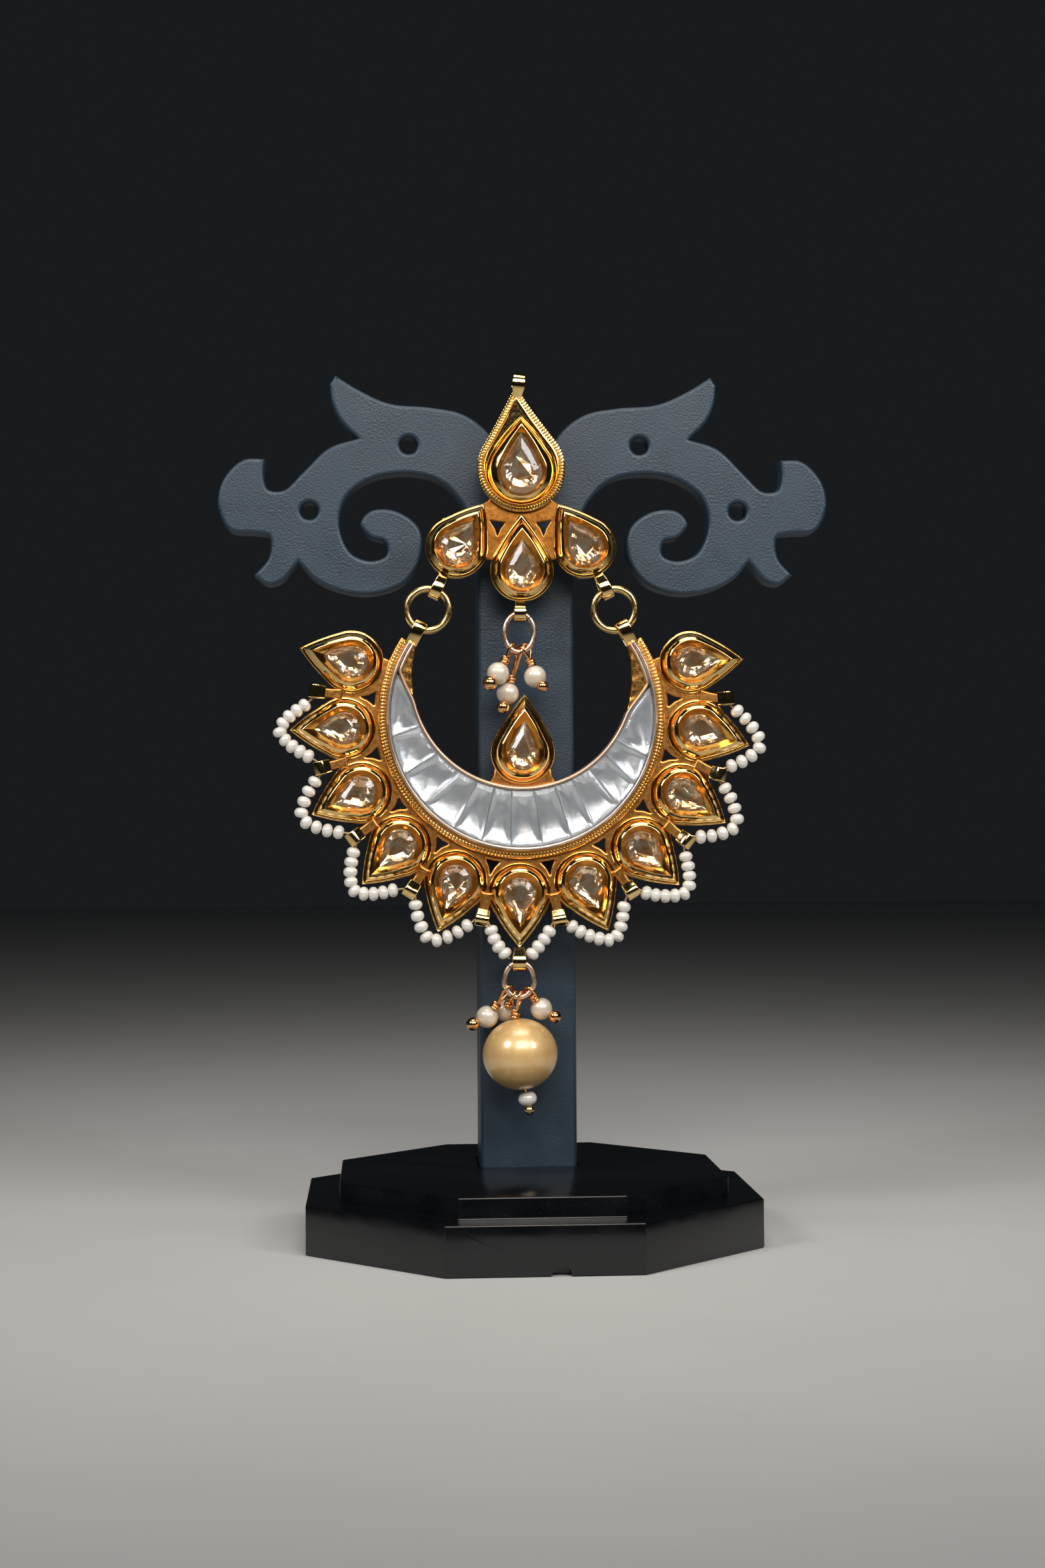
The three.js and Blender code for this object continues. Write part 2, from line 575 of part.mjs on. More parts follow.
// A jump ring: a round wire along an oval in the hang plane.
function makeRing({ x, y, halfWidth, halfHeight, wire }) {
  const steps = 12;
  const sides = 5;
  const loops = Array.from({ length: sides }, (_, j) => {
    const around = (2 * Math.PI * j) / sides;
    return { out: wire * Math.cos(around), up: wire * Math.sin(around) };
  });
  const points = [];
  for (let i = 0; i < steps; i++) {
    const a = (2 * Math.PI * i) / steps;
    const normal = new THREE.Vector2(Math.cos(a) / halfWidth, Math.sin(a) / halfHeight).normalize();
    for (const { out, up } of loops) {
      points.push(
        new THREE.Vector3(
          x + halfWidth * Math.cos(a) + out * normal.x,
          y + halfHeight * Math.sin(a) + out * normal.y,
          HANG_HEIGHT + up,
        ),
      );
    }
  }
  const index = [];
  for (let i = 0; i < steps; i++) {
    for (let j = 0; j < sides; j++) {
      const a = i * sides + j;
      const b = i * sides + ((j + 1) % sides);
      const c = ((i + 1) % steps) * sides + ((j + 1) % sides);
      const d = ((i + 1) % steps) * sides + j;
      index.push(a, c, b, a, d, c);
    }
  }
  return new THREE.BufferGeometry().setFromPoints(points).setIndex(index);
}

// A point on a jump ring, at an angle from its lowest point.
const onRing = ({ x, y, halfWidth, halfHeight }, degrees) =>
  new THREE.Vector3(
    x + halfWidth * Math.sin(radians(degrees)),
    y - halfHeight * Math.cos(radians(degrees)),
    HANG_HEIGHT,
  );

// A straight stick of evenly spaced beads on their thread, turned as one profile.
function beadStick(length, from, to, beads) {
  const pitch = (to - from) / (beads - 1);
  const profile = [[0, 0], [BEAD.thread, 0], [BEAD.thread, from - pitch / 2]];
  for (let i = 0; i < beads; i++) {
    const centre = from + i * pitch;
    profile.push([BEAD.radius, centre - BEAD.flat], [BEAD.radius, centre + BEAD.flat]);
    if (i < beads - 1) profile.push([BEAD.neck, centre + pitch / 2]);
  }
  profile.push([BEAD.thread, to + pitch / 2], [BEAD.thread, length], [0, length]);
  return new THREE.LatheGeometry(profile.map(([x, y]) => new THREE.Vector2(x, y)), BEAD.sides, Math.PI / BEAD.sides);
}

// A string of beads along a route in the hang plane. The first bead sits on route[2], the last on
// route[lastAt].
function beadString(route, lastAt, beads) {
  const path = new THREE.CatmullRomCurve3(route.map((p) => new THREE.Vector3(p.x, p.y, HANG_HEIGHT)));
  const steps = 60;
  path.arcLengthDivisions = steps * (route.length - 1);
  const lengths = path.getLengths();
  const length = lengths.at(-1);
  const stick = beadStick(length, lengths[2 * steps], lengths[lastAt * steps], beads);
  const position = stick.getAttribute("position");
  const up = new THREE.Vector3(0, 0, 1);
  const p = new THREE.Vector3();
  for (let i = 0; i < position.count; i++) {
    p.fromBufferAttribute(position, i);
    const along = THREE.MathUtils.clamp(p.y / length, 0, 1);
    const side = path.getTangentAt(along).cross(up);
    const bent = path.getPointAt(along).addScaledVector(side, p.x).addScaledVector(up, p.z);
    position.setXYZ(i, bent.x, bent.y, bent.z);
  }
  return stick;
}

// The two points by which a thread leaves a lug's bore: one inside it, and one at its mouth. Towards is 1
// or -1.
function outOfLug(k, towards) {
  const angle = between(k).notch;
  const mouth = (SMALL_LUG.length / 2 + 0.1) * towards;
  const along = new THREE.Vector2(Math.cos(radians(angle)), Math.sin(radians(angle)));
  return [
    polar(SMALL_LUG.at - 0.1, angle).addScaledVector(along, 0.2 * towards),
    polar(SMALL_LUG.at + 0.2, angle).addScaledVector(along, mouth),
  ];
}

// The beads round a petal's tip, between the lugs on its two sides.
function petalString({ petal, beads, first, nose, last }) {
  const at = (share, from) => from + share * (nose - from);
  const route = [
    ...outOfLug(petal - 2, 1),
    polar(STRING.end, first),
    polar(STRING.shoulder, at(0.45, first)),
    polar(STRING.nose, nose),
    polar(STRING.shoulder, at(0.45, last)),
    polar(STRING.end, last),
    ...outOfLug(petal - 1, -1).reverse(),
  ];
  return beadString(route, 6, beads);
}

function shortString({ lug, towards, route }) {
  const points = route.map(([x, y]) => new THREE.Vector2(x, y));
  return beadString([...outOfLug(lug - 1, towards), ...points], 4, 4);
}

// A cylinder between two points.
function rod(from, to, radius, sides) {
  const along = to.clone().sub(from);
  const turn = new THREE.Quaternion().setFromUnitVectors(new THREE.Vector3(0, 1, 0), along.clone().normalize());
  return new THREE.CylinderGeometry(radius, radius, along.length(), sides)
    .applyQuaternion(turn)
    .translate(...from.clone().add(to).divideScalar(2).toArray());
}

// A headpin's eye round a ring's wire, with its plane through the direction in which the pin leaves.
function eye(hook, direction) {
  const angle = Math.atan2(direction.x, -direction.y);
  return new THREE.TorusGeometry(PIN.eye, PIN.wire, 4, 6)
    .rotateY(Math.PI / 2)
    .rotateZ(angle)
    .translate(hook.x, hook.y, hook.z);
}

// A small pearl with a gold ball under it, on a headpin whose eye hooks on a ring.
function makeCharm(ring, charm) {
  const hook = onRing(ring, charm.hook);
  const pearl = new THREE.Vector3(...charm.pearl);
  const ball = new THREE.Vector3(...charm.ball);
  const direction = pearl.clone().sub(hook).normalize();
  const flat = new THREE.Vector3(direction.x, direction.y, 0).normalize();
  const leave = hook.clone().addScaledVector(flat, PIN.eye);
  const crown = pearl.clone().addScaledVector(pearl.clone().sub(leave).normalize(), -SMALL_PEARL + 0.15);
  const wrapTop = crown.clone().addScaledVector(pearl.clone().sub(leave).normalize(), -PIN.wrapLength);
  const parts = [
    eye(hook, direction),
    rod(leave, pearl, PIN.wire, 4),
    rod(wrapTop, crown, PIN.wrap, 5),
    new THREE.SphereGeometry(SMALL_PEARL, 7, 5).rotateX(Math.PI / 2).translate(...charm.pearl),
    rod(pearl, ball, PIN.wire, 4),
    new THREE.SphereGeometry(charm.ballRadius, 6, 3).rotateX(Math.PI / 2).translate(...charm.ball),
  ];
  return geometryOf(join(parts.map(solid)));
}

const pearlAxis = () => {
  const tilt = radians(PEARL.tilt);
  return new THREE.Vector3(Math.sin(tilt), -Math.cos(tilt), 0);
};

function makePearl() {
  const centre = new THREE.Vector3(PEARL.x, PEARL.y, HANG_HEIGHT);
  const ball = new THREE.SphereGeometry(PEARL.radius, 12, 9).scale(1, PEARL.height / (2 * PEARL.radius), 1);
  const bore = new THREE.CylinderGeometry(PEARL.bore, PEARL.bore, 3 * PEARL.radius, 6);
  for (const shape of [ball, bore]) shape.rotateZ(radians(PEARL.tilt)).translate(centre.x, centre.y, centre.z);
  return geometryOf(solid(ball).subtract(solid(bore)));
}

// The big pearl's headpin: an eye on the lower ring, the pin through the pearl, a seed bead and a gold
// ball.
function makePearlPin() {
  const centre = new THREE.Vector3(PEARL.x, PEARL.y, HANG_HEIGHT);
  const down = pearlAxis();
  const at = (distance) => centre.clone().addScaledVector(down, distance);
  const hook = onRing(LOWER_RING, PEARL_PIN.hook);
  const half = PEARL.height / 2;
  const crown = at(-half - 0.4);
  const direction = crown.clone().sub(hook).normalize();
  const seedTop = half + STONE.gap;
  const seedBottom = seedTop + PEARL_PIN.seedLength;
  const ballAt = seedBottom + PEARL_PIN.ballRadius - 0.1;
  const seed = new THREE.LatheGeometry(
    [[0, -1], [0.5, -1], [1, -0.35], [1, 0.35], [0.5, 1], [0, 1]].map(
      ([x, y]) => new THREE.Vector2(x * PEARL_PIN.seedRadius, (y * PEARL_PIN.seedLength) / 2),
    ),
    6,
  ).rotateZ(radians(PEARL.tilt)).translate(...at((seedTop + seedBottom) / 2).toArray());
  const parts = [
    eye(hook, direction),
    rod(hook.clone().addScaledVector(direction, PIN.eye), crown, PIN.wire, 5),
    rod(crown.clone().addScaledVector(direction, -PIN.wrapLength), at(-half - STONE.gap), PIN.wrap, 5),
    rod(crown, at(ballAt), PIN.wire, 5),
    seed,
    new THREE.SphereGeometry(PEARL_PIN.ballRadius, 7, 5).translate(...at(ballAt).toArray()),
  ];
  return geometryOf(join(parts.map(solid)));
}

// ---------- The object ----------

const object = new THREE.Group();
const tree = new THREE.Group();
const earring = new THREE.Group();
tree.rotation.x = Math.PI / 2;
tree.position.y = STEM.front + STEM.depth;
earring.rotation.x = Math.PI / 2;
earring.position.set(EARRING_X, HANG_Y + HANG_HEIGHT, 0);
object.add(tree, earring);

function add(group, name, geometry, material) {
  const mesh = new THREE.Mesh(geometry, MATERIALS[material]);
  mesh.name = name;
  group.add(mesh);
}

const two = (n) => String(n).padStart(2, "0");

add(object, "stand_base", makeBase(), "blackPlastic");
add(tree, "stand_tree", makeTree(), "slatePlastic");

add(earring, "stud_frame", makeStud(), "gold");
add(earring, "stud_stone_top", pearStone(TOP_PEAR), "champagneGlass");
for (const [side, word] of [[-1, "left"], [1, "right"]]) {
  const place = { ...SIDE_PEAR, x: side * SIDE_PEAR.x, tipX: side * SIDE_PEAR.tipX };
  add(earring, `stud_stone_${word}`, pearStone(place), "champagneGlass");
}
add(earring, "stud_stone_middle", pearStone(MIDDLE_PEAR), "champagneGlass");
add(earring, "middle_ring", makeRing(MIDDLE_RING), "copperGold");
for (const charm of UPPER_CHARMS) add(earring, charm.name, makeCharm(MIDDLE_RING, charm), "copperGold");

for (const [side, word] of [[-1, "left"], [1, "right"]]) {
  add(earring, `jump_ring_${word}`, makeRing({ ...SIDE_RING, x: side * SIDE_RING.x }), "gold");
}
add(earring, "crescent_frame", makeCrescent(), "gold");
const seams = seamEnds();
for (let k = 0; k + 1 < seams.length; k++) {
  add(earring, `channel_stone_${two(k + 1)}`, channelStone(seams[k], seams[k + 1]), "clearGlass");
}
PETALS.forEach((petal, k) => {
  add(earring, `petal_stone_${two(k + 1)}`, pearStone(petalPlace(petal)), "champagneGlass");
});
for (const string of STRINGS) add(earring, `bead_string_${two(string.petal)}`, petalString(string), "seedBead");
for (const string of SHORT_STRINGS) add(earring, `bead_string_06_${string.side}`, shortString(string), "seedBead");
add(earring, "inner_stone", pearStone(INNER_PEAR), "champagneGlass");
add(earring, "lower_ring", makeRing(LOWER_RING), "copperGold");
add(earring, "big_pearl", makePearl(), "champagnePearl");
add(earring, "big_pearl_pin", makePearlPin(), "copperGold");
for (const charm of LOWER_CHARMS) add(earring, charm.name, makeCharm(LOWER_RING, charm), "copperGold");

export default object;
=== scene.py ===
# %% [markdown]
# # A chandbali earring on its display stand
#
# A chandbali is a moon-shaped Indian earring. This one is kundan work: glass stones lie over metal foil
# in raised gold settings, soldered round a crescent. Seed beads run round the petals, and pearls hang on
# headpins. The earring hangs by its post from a moulded plastic tree on an eight-sided base.
#
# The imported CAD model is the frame: it says where everything is and what moves. This script builds the
# fine pieces around it, one kind at a time, and every piece rides on a CAD body.

# %% Load the frame
import math

import bpy
import numpy as np
from mathutils import Matrix, Vector


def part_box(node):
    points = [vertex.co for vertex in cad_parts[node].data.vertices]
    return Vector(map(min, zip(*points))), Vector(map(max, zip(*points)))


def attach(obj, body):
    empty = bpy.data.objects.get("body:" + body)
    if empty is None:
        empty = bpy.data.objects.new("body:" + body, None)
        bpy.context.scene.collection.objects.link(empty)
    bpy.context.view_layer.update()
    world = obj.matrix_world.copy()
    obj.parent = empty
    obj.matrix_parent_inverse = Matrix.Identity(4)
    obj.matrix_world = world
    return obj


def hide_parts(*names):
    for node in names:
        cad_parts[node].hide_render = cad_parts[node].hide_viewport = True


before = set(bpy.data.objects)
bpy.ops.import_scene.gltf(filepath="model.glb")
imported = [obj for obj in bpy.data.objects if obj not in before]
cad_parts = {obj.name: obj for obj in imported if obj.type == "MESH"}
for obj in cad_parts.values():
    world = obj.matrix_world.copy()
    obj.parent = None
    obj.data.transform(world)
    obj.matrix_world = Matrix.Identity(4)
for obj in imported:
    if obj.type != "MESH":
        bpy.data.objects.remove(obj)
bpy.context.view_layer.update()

# %% [markdown]
# ## The camera comes first
#
# It stands a third of a metre in front of the stand, a little to the left and about half way up, and
# looks almost level. A longer lens than that of a room keeps the arms and the base in proportion.

# %% Camera
MM = 0.001  # every size in this script is in millimetres, and Blender's are in metres
LENS = 53.4
CAMERA_PLACE = Vector((-19.93, -314.3, 53.89)) * MM
CAMERA_TURNS = [(-3.51, "Z"), (1.26, "X"), (0.38, "Y"), (90, "X")]  # yaw, pitch, roll, up from the floor

camera_data = bpy.data.cameras.new("camera")
camera_data.sensor_fit = "VERTICAL"
camera_data.sensor_height = 36
camera_data.lens = LENS
camera = bpy.data.objects.new("camera", camera_data)
bpy.context.scene.collection.objects.link(camera)
facing = Matrix.Identity(4)
for degrees, axis in CAMERA_TURNS:
    facing = facing @ Matrix.Rotation(math.radians(degrees), 4, axis)
camera.matrix_world = Matrix.Translation(CAMERA_PLACE) @ facing
bpy.context.scene.camera = camera
print("camera at", [round(c * 1000) for c in camera.location], "mm")

# %% [markdown]
# ## Shapes as lists of points and faces
#
# Jewellery is made by a few moves: a wire is drawn and bent, a profile is turned, a strip is raised round
# a stone. Each move is one function here. It gives points and faces, and a later function joins many of
# them into one piece. Meshes written this way have clean, even faces, and every size can be read in the
# script.

# %% Skins, tubes and turned forms
def skin(loops, ends=True):
    """Joins closed loops of equal length, one after another. Both ends are closed by a flat face."""
    loops = [np.asarray(loop, float) for loop in loops]
    n = len(loops[0])
    last = (len(loops) - 1) * n
    sides = [(j, (j + 1) % n) for j in range(n)]
    faces = [(k + j, k + after, k + after + n, k + j + n) for k in range(0, last, n) for j, after in sides]
    if ends:
        faces += [tuple(range(n))[::-1], tuple(range(last, last + n))]
    return np.concatenate(loops), faces


def unit(v):
    """A direction one long, or a list of them."""
    v = np.asarray(v, float)
    return v / np.linalg.norm(v, axis=-1, keepdims=True)


def tube(path, radius, sides, closed=False):
    """A round wire along a path of points. The radius may be one number or one for each point."""
    path = np.asarray(path, float)
    n = len(path)
    radii = np.broadcast_to(radius, (n,))
    tangents = unit(np.roll(path, -1, 0) - np.roll(path, 1, 0) if closed else np.gradient(path, axis=0))
    across = np.cross(tangents[0], [0.31, 0.2, 1])  # any direction that no wire here runs in
    loops = []
    turn = np.arange(sides) * 2 * math.pi / sides
    for point, tangent, r in zip(path, tangents, radii):
        across = unit(across - tangent * (across @ tangent))
        other = np.cross(tangent, across)
        loops.append(point + r * (np.outer(np.cos(turn), across) + np.outer(np.sin(turn), other)))
    if not closed:
        return skin(loops)
    points, faces = skin(loops + [loops[0]], ends=False)
    count = n * sides
    return points[:count], [tuple(i % count for i in face) for face in faces]


def frame_of(axis):
    """Three directions at right angles, the last one along the axis."""
    axis = unit(axis)
    side = unit(np.cross([0, 1, 0] if abs(axis[1]) < 0.9 else [1, 0, 0], axis))
    return np.array([side, np.cross(axis, side), axis])


def turned(profile, centre, axis, steps, hollow=False):
    """A form turned on a lathe: the profile gives (radius, place along the axis) from one end to the other.
    The profile of a hollow form comes back to where it began."""
    directions = frame_of(axis)
    angle = np.arange(steps) * 2 * math.pi / steps
    ring = np.stack([np.cos(angle), np.sin(angle)], 1)
    profile = list(profile) + [profile[0]] * hollow
    loops = [np.asarray(centre) + r * ring @ directions[:2] + h * directions[2] for r, h in profile]
    return skin(loops, ends=not hollow)


def ball(radius, centre, axis, height=1.0, steps=28):
    """A ball, or a flattened one where height is below 1."""
    around = np.linspace(0.02, math.pi - 0.02, steps // 2 + 1)
    profile = [(radius * math.sin(a), -radius * height * math.cos(a)) for a in around]
    return turned(profile, centre, axis, steps)


# %% [markdown]
# ## From loose shapes to a piece
#
# The earring is drawn flat, as a jeweller would: x to the right, y up, and z out from the back of the
# metal. One function stands the drawing upright in the place where the frame hangs it. The jump rings lie
# in the hanging plane, so the frame's own ring gives that place.

# %% Place and make a piece
EARRING_X = -0.9  # the earring hangs a little to the left of the stand's middle
CRESCENT_Y = 69.9  # the height of the crescent's middle
HANG_HEIGHT = 1  # the hanging plane, out from the back of the metal
ring_low, ring_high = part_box("jump_ring_left")
BACK_Y = (ring_low.y + ring_high.y) / 2 / MM + HANG_HEIGHT
print("the metal's back lies at y =", round(BACK_Y, 2), "mm")


def hung(points):
    """Points of the earring's drawing as places in the frame, in metres."""
    p = np.asarray(points, float)
    return np.stack([p[:, 0] + EARRING_X, BACK_Y - p[:, 2], p[:, 1]], 1) * MM


def make(name, shapes, body, replaced, place=hung, crease=38, soft=()):
    """One piece from (shape, material) pairs. Edges sharper than the crease angle stay crisp. With a crease
    of 0 every facet is flat, apart from those of the soft materials."""
    points, faces, finishes, materials = [], [], [], []
    for (shape_points, shape_faces), material in shapes:
        start = sum(len(p) for p in points)
        points.append(np.asarray(shape_points, float))
        faces += [tuple(i + start for i in face) for face in shape_faces]
        if material not in materials:
            materials.append(material)
        finishes += [materials.index(material)] * len(shape_faces)
    mesh = bpy.data.meshes.new(name)
    mesh.from_pydata(place(np.concatenate(points)).tolist(), [], faces)
    for material in materials:
        mesh.materials.append(material)
    mesh.polygons.foreach_set("material_index", finishes)
    mesh.polygons.foreach_set("use_smooth", [crease > 0 or materials[k] in soft for k in finishes])
    if crease > 0:
        mesh.set_sharp_from_angle(angle=math.radians(crease))
    mesh.update()
    piece = bpy.data.objects.new(name, mesh)
    bpy.context.scene.collection.objects.link(piece)
    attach(piece, body)
    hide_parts(*([replaced] if isinstance(replaced, str) else replaced))
    print(f"{name}: {len(faces)} faces")
    return piece


# %% [markdown]
# ## How materials are written
#
# Colours are written as the hex values that a screen shows, and one function turns them to the linear
# values that the renderer needs. One small function adds a node, with its settings and what feeds its
# sockets. Patterns are scaled from a real size: a noise whose grains are 0.3 mm apart has the scale 1 /
# 0.3 mm.

# %% Colour and node helpers
def colour(text):
    """An sRGB hex colour as linear red, green, blue and alpha."""
    parts = [int(text[i:i + 2], 16) / 255 for i in (1, 3, 5)]
    return [c / 12.92 if c <= 0.04045 else ((c + 0.055) / 1.055) ** 2.4 for c in parts] + [1.0]


def add(tree, kind, sockets=None, **settings):
    """Adds a node. A socket is given a value, or another node's output to link to."""
    node = tree.nodes.new(kind)
    for name, value in settings.items():
        setattr(node, name, value)
    for name, value in (sockets or {}).items():
        if isinstance(value, bpy.types.NodeSocket):
            tree.links.new(value, node.inputs[name])
        else:
            node.inputs[name].default_value = value
    return node


def new_material(name):
    """A new material, its node tree and shader, and places on the piece in metres."""
    material = bpy.data.materials.new(name)
    material.use_nodes = True
    tree = material.node_tree
    shader = tree.nodes["Principled BSDF"]
    places = add(tree, "ShaderNodeTexCoord").outputs["Object"]
    return material, tree, shader, places


# %% [markdown]
# ## Gold plate
#
# The metal is brass with a thin gold plate. On the settings it is burnished: nearly a mirror, but made by
# hand, so it runs in slow waves that bend every reflection, and has small dull specks. The webs are left
# as cast, with a fine grain that spreads the light. Both are fully metallic, so their colour sits in the
# reflection: pale where they mirror a lamp once, and orange in the corners, where the light strikes gold
# two or three times. Drawn wire, filed edges and the worn lips of the channel are further finishes of the
# same kind, and each is one row of a table. Two rows are darker, more orange copies with painted shade:
# one for the walls inside the settings' ridges, and one for the stud's web.

# %% Gold materials
def gold(name, shades, rough, wave, grain, grain_size):
    """Plated metal: two shades, roughness from and to, the waves' depth, and the grain's depth and size."""
    material, tree, shader, places = new_material(name)
    shader.inputs["Metallic"].default_value = 1.0
    patches = add(tree, "ShaderNodeTexNoise", {"Vector": places, "Scale": 1 / (1.5 * MM), "Detail": 3.0})
    tint = {0: patches.outputs["Fac"], 6: colour(shades[0]), 7: colour(shades[1])}
    tint = add(tree, "ShaderNodeMix", tint, data_type="RGBA")
    tree.links.new(tint.outputs[2], shader.inputs["Base Color"])
    wear = {"Vector": places, "Scale": 1 / (0.35 * MM), "Detail": 5.0, "Roughness": 0.7}
    wear = add(tree, "ShaderNodeTexNoise", wear)
    polish = {"Value": wear.outputs["Fac"], "From Min": 0.35, "From Max": 0.7}
    polish = add(tree, "ShaderNodeMapRange", {**polish, "To Min": rough[0], "To Max": rough[1]})
    tree.links.new(polish.outputs["Result"], shader.inputs["Roughness"])
    slow = add(tree, "ShaderNodeTexNoise", {"Vector": places, "Scale": 1 / (1.3 * MM), "Detail": 1.0})
    slow = add(tree, "ShaderNodeBump", {"Height": slow.outputs["Fac"], "Distance": wave * MM})
    fine = {"Vector": places, "Scale": 1 / (grain_size * MM), "Detail": 3.0}
    fine = add(tree, "ShaderNodeTexNoise", fine)
    fine = {"Height": fine.outputs["Fac"], "Distance": grain * MM, "Normal": slow.outputs["Normal"]}
    fine = add(tree, "ShaderNodeBump", fine)
    tree.links.new(fine.outputs["Normal"], shader.inputs["Normal"])
    return material


GOLDS = {  # name: (two shades, roughness from and to, the waves' depth, the grain's depth and size)
    "burnished_gold_plate": (("#efbf6a", "#ffe2a6"), (0.05, 0.15), 0.008, 0.002, 0.14),
    # a darker, more orange copy of the burnished plate: painted shade for the walls inside the ridges
    "shaded_gold_plate": (("#e29a3a", "#f6c66c"), (0.08, 0.2), 0.01, 0.003, 0.14),
    "cast_gold_plate": (("#cd8433", "#eaab63"), (0.26, 0.42), 0.04, 0.012, 0.16),
    # a darker copy of the cast plate: painted shade for the stud's web
    "shadowed_cast_gold_plate": (("#a4621f", "#cc8c44"), (0.26, 0.42), 0.04, 0.012, 0.16),
    "filed_gold_plate": (("#c98a3c", "#ecb768"), (0.2, 0.36), 0.04, 0.015, 0.2),
    "drawn_gold_wire": (("#e2b56a", "#f5d89c"), (0.16, 0.3), 0.02, 0.003, 0.12),
    "drawn_rose_gold_wire": (("#f3c5a4", "#fde2cc"), (0.24, 0.38), 0.02, 0.003, 0.12),
    "drawn_copper_gold_wire": (("#e8a25c", "#f6c48c"), (0.1, 0.2), 0.015, 0.003, 0.12),
    "worn_rose_gold_plate": (("#e0b294", "#f6dac2"), (0.34, 0.5), 0.03, 0.01, 0.2),
    "worn_rim_plate": (("#c4b4a8", "#e6dbd2"), (0.28, 0.44), 0.04, 0.01, 0.2),
}
metals = [gold(name, *values) for name, values in GOLDS.items()]
burnished_gold, shaded_wall_gold, cast_gold, shadowed_web_gold, filed_gold = metals[:5]
drawn_gold, rose_gold, copper_gold, worn_rose, worn_silver = metals[5:]
print("metals:", *GOLDS)

# %% [markdown]
# ## Glass over foil
#
# A kundan stone is clear glass with a foil behind it. The glass adds sharp facets and its own bright
# reflections, and the foil sends the light back. Here each stone is one closed form: its crown is glass
# with the usual index of 1.5, and its back faces are foil, so that the light is bent by the crown,
# mirrored by the foil, and bent again. The foil is pressed in by hand and a little dull, so what it
# mirrors is soft, and only the glass in front of it is sharp.

# %% Glass and foil materials
def glass(name, tint, sway):
    """Tinted glass. Its surface sways by a depth in millimetres, as hand-polished glass does."""
    material, tree, shader, places = new_material(name)
    shader.inputs["Base Color"].default_value = colour(tint)
    shader.inputs["Transmission Weight"].default_value = 1.0
    shader.inputs["IOR"].default_value = 1.52
    shader.inputs["Roughness"].default_value = 0.015
    uneven = add(tree, "ShaderNodeTexNoise", {"Vector": places, "Scale": 1 / (1.2 * MM), "Detail": 1.0})
    uneven = add(tree, "ShaderNodeBump", {"Height": uneven.outputs["Fac"], "Distance": sway * MM})
    tree.links.new(uneven.outputs["Normal"], shader.inputs["Normal"])
    return material


def foil(name, shades, metallic, rough, crease, width):
    """Foil in two shades, with creases whose depth and width are in millimetres."""
    material, tree, shader, places = new_material(name)
    shader.inputs["Metallic"].default_value = metallic
    shader.inputs["Roughness"].default_value = rough
    patches = add(tree, "ShaderNodeTexNoise", {"Vector": places, "Scale": 1 / (1.5 * MM), "Detail": 2.0})
    patches = {"Value": patches.outputs["Fac"], "From Min": 0.36, "From Max": 0.62}
    patches = add(tree, "ShaderNodeMapRange", patches)
    tint = {0: patches.outputs["Result"], 6: colour(shades[0]), 7: colour(shades[1])}
    tint = add(tree, "ShaderNodeMix", tint, data_type="RGBA")
    tree.links.new(tint.outputs[2], shader.inputs["Base Color"])
    folds = add(tree, "ShaderNodeTexNoise", {"Vector": places, "Scale": 1 / (width * MM), "Detail": 2.0})
    folds = add(tree, "ShaderNodeBump", {"Height": folds.outputs["Fac"], "Distance": crease * MM})
    tree.links.new(folds.outputs["Normal"], shader.inputs["Normal"])
    return material


champagne_glass = glass("champagne_glass", "#fff4e8", 0.006)
clear_glass = glass("clear_glass", "#fbfdff", 0.008)
gold_foil = foil("pressed_gold_foil", ("#f7c68a", "#fff5e0"), 0.8, 0.1, 0.03, 1.1)
silver_foil = foil("pressed_silver_foil", ("#f0f5f8", "#ffffff"), 0.56, 0.2, 0.06, 2.4)
seam_foil = foil("seam_foil", ("#a58c78", "#d8c6b4"), 1.0, 0.4, 0.05, 0.4)
print("stones:", champagne_glass.name, "over", gold_foil.name)
print("stones:", clear_glass.name, "over", silver_foil.name)

# %% [markdown]
# ## Pearls and beads
#
# Imitation pearls are balls dipped in pearl lacquer. Its flakes lie in layers and are partly metallic,
# which gives the silky glow, and the lacquer's surface gives a brighter, smaller highlight. The flakes'
# index is near 1.9, so that highlight is stronger than on plain plastic. Seed beads are opaque lustred
# glass, and the thread is nylon.

# %% Pearl and bead materials
def pearl(name, shades, metallic, rough, coat, coat_rough):
    """Flakes in two shades, partly metallic, under a coat of lacquer of some weight and roughness."""
    material, tree, shader, places = new_material(name)
    flakes = {"Metallic": metallic, "Roughness": rough}
    lacquer = {"Coat Weight": coat, "Coat Roughness": coat_rough, "Coat IOR": 1.9}
    for socket, value in {**flakes, **lacquer}.items():
        shader.inputs[socket].default_value = value
    clouds = add(tree, "ShaderNodeTexNoise", {"Vector": places, "Scale": 1 / (1.6 * MM), "Detail": 4.0})
    tint = {0: clouds.outputs["Fac"], 6: colour(shades[0]), 7: colour(shades[1])}
    tint = add(tree, "ShaderNodeMix", tint, data_type="RGBA")
    tree.links.new(tint.outputs[2], shader.inputs["Base Color"])
    skin_grain = add(tree, "ShaderNodeTexNoise", {"Vector": places, "Scale": 1 / (0.3 * MM), "Detail": 2.0})
    skin_grain = add(tree, "ShaderNodeBump", {"Height": skin_grain.outputs["Fac"], "Distance": 0.004 * MM})
    tree.links.new(skin_grain.outputs["Normal"], shader.inputs["Normal"])
    return material


champagne_pearl = pearl("champagne_pearl_lacquer", ("#dfa956", "#f3d196"), 0.3, 0.42, 0.8, 0.2)
cream_pearl = pearl("cream_pearl_lacquer", ("#d6c6ac", "#f2e8d6"), 0.15, 0.4, 0.7, 0.2)
seed_glass = pearl("lustred_seed_bead_glass", ("#e4ddd0", "#faf5ec"), 0.1, 0.3, 0.5, 0.15)
thread_fibre = pearl("nylon_beading_thread", ("#a08468", "#c8b49a"), 0.0, 0.6, 0.0, 0.5)
print("pearls:", champagne_pearl.name, cream_pearl.name, seed_glass.name)

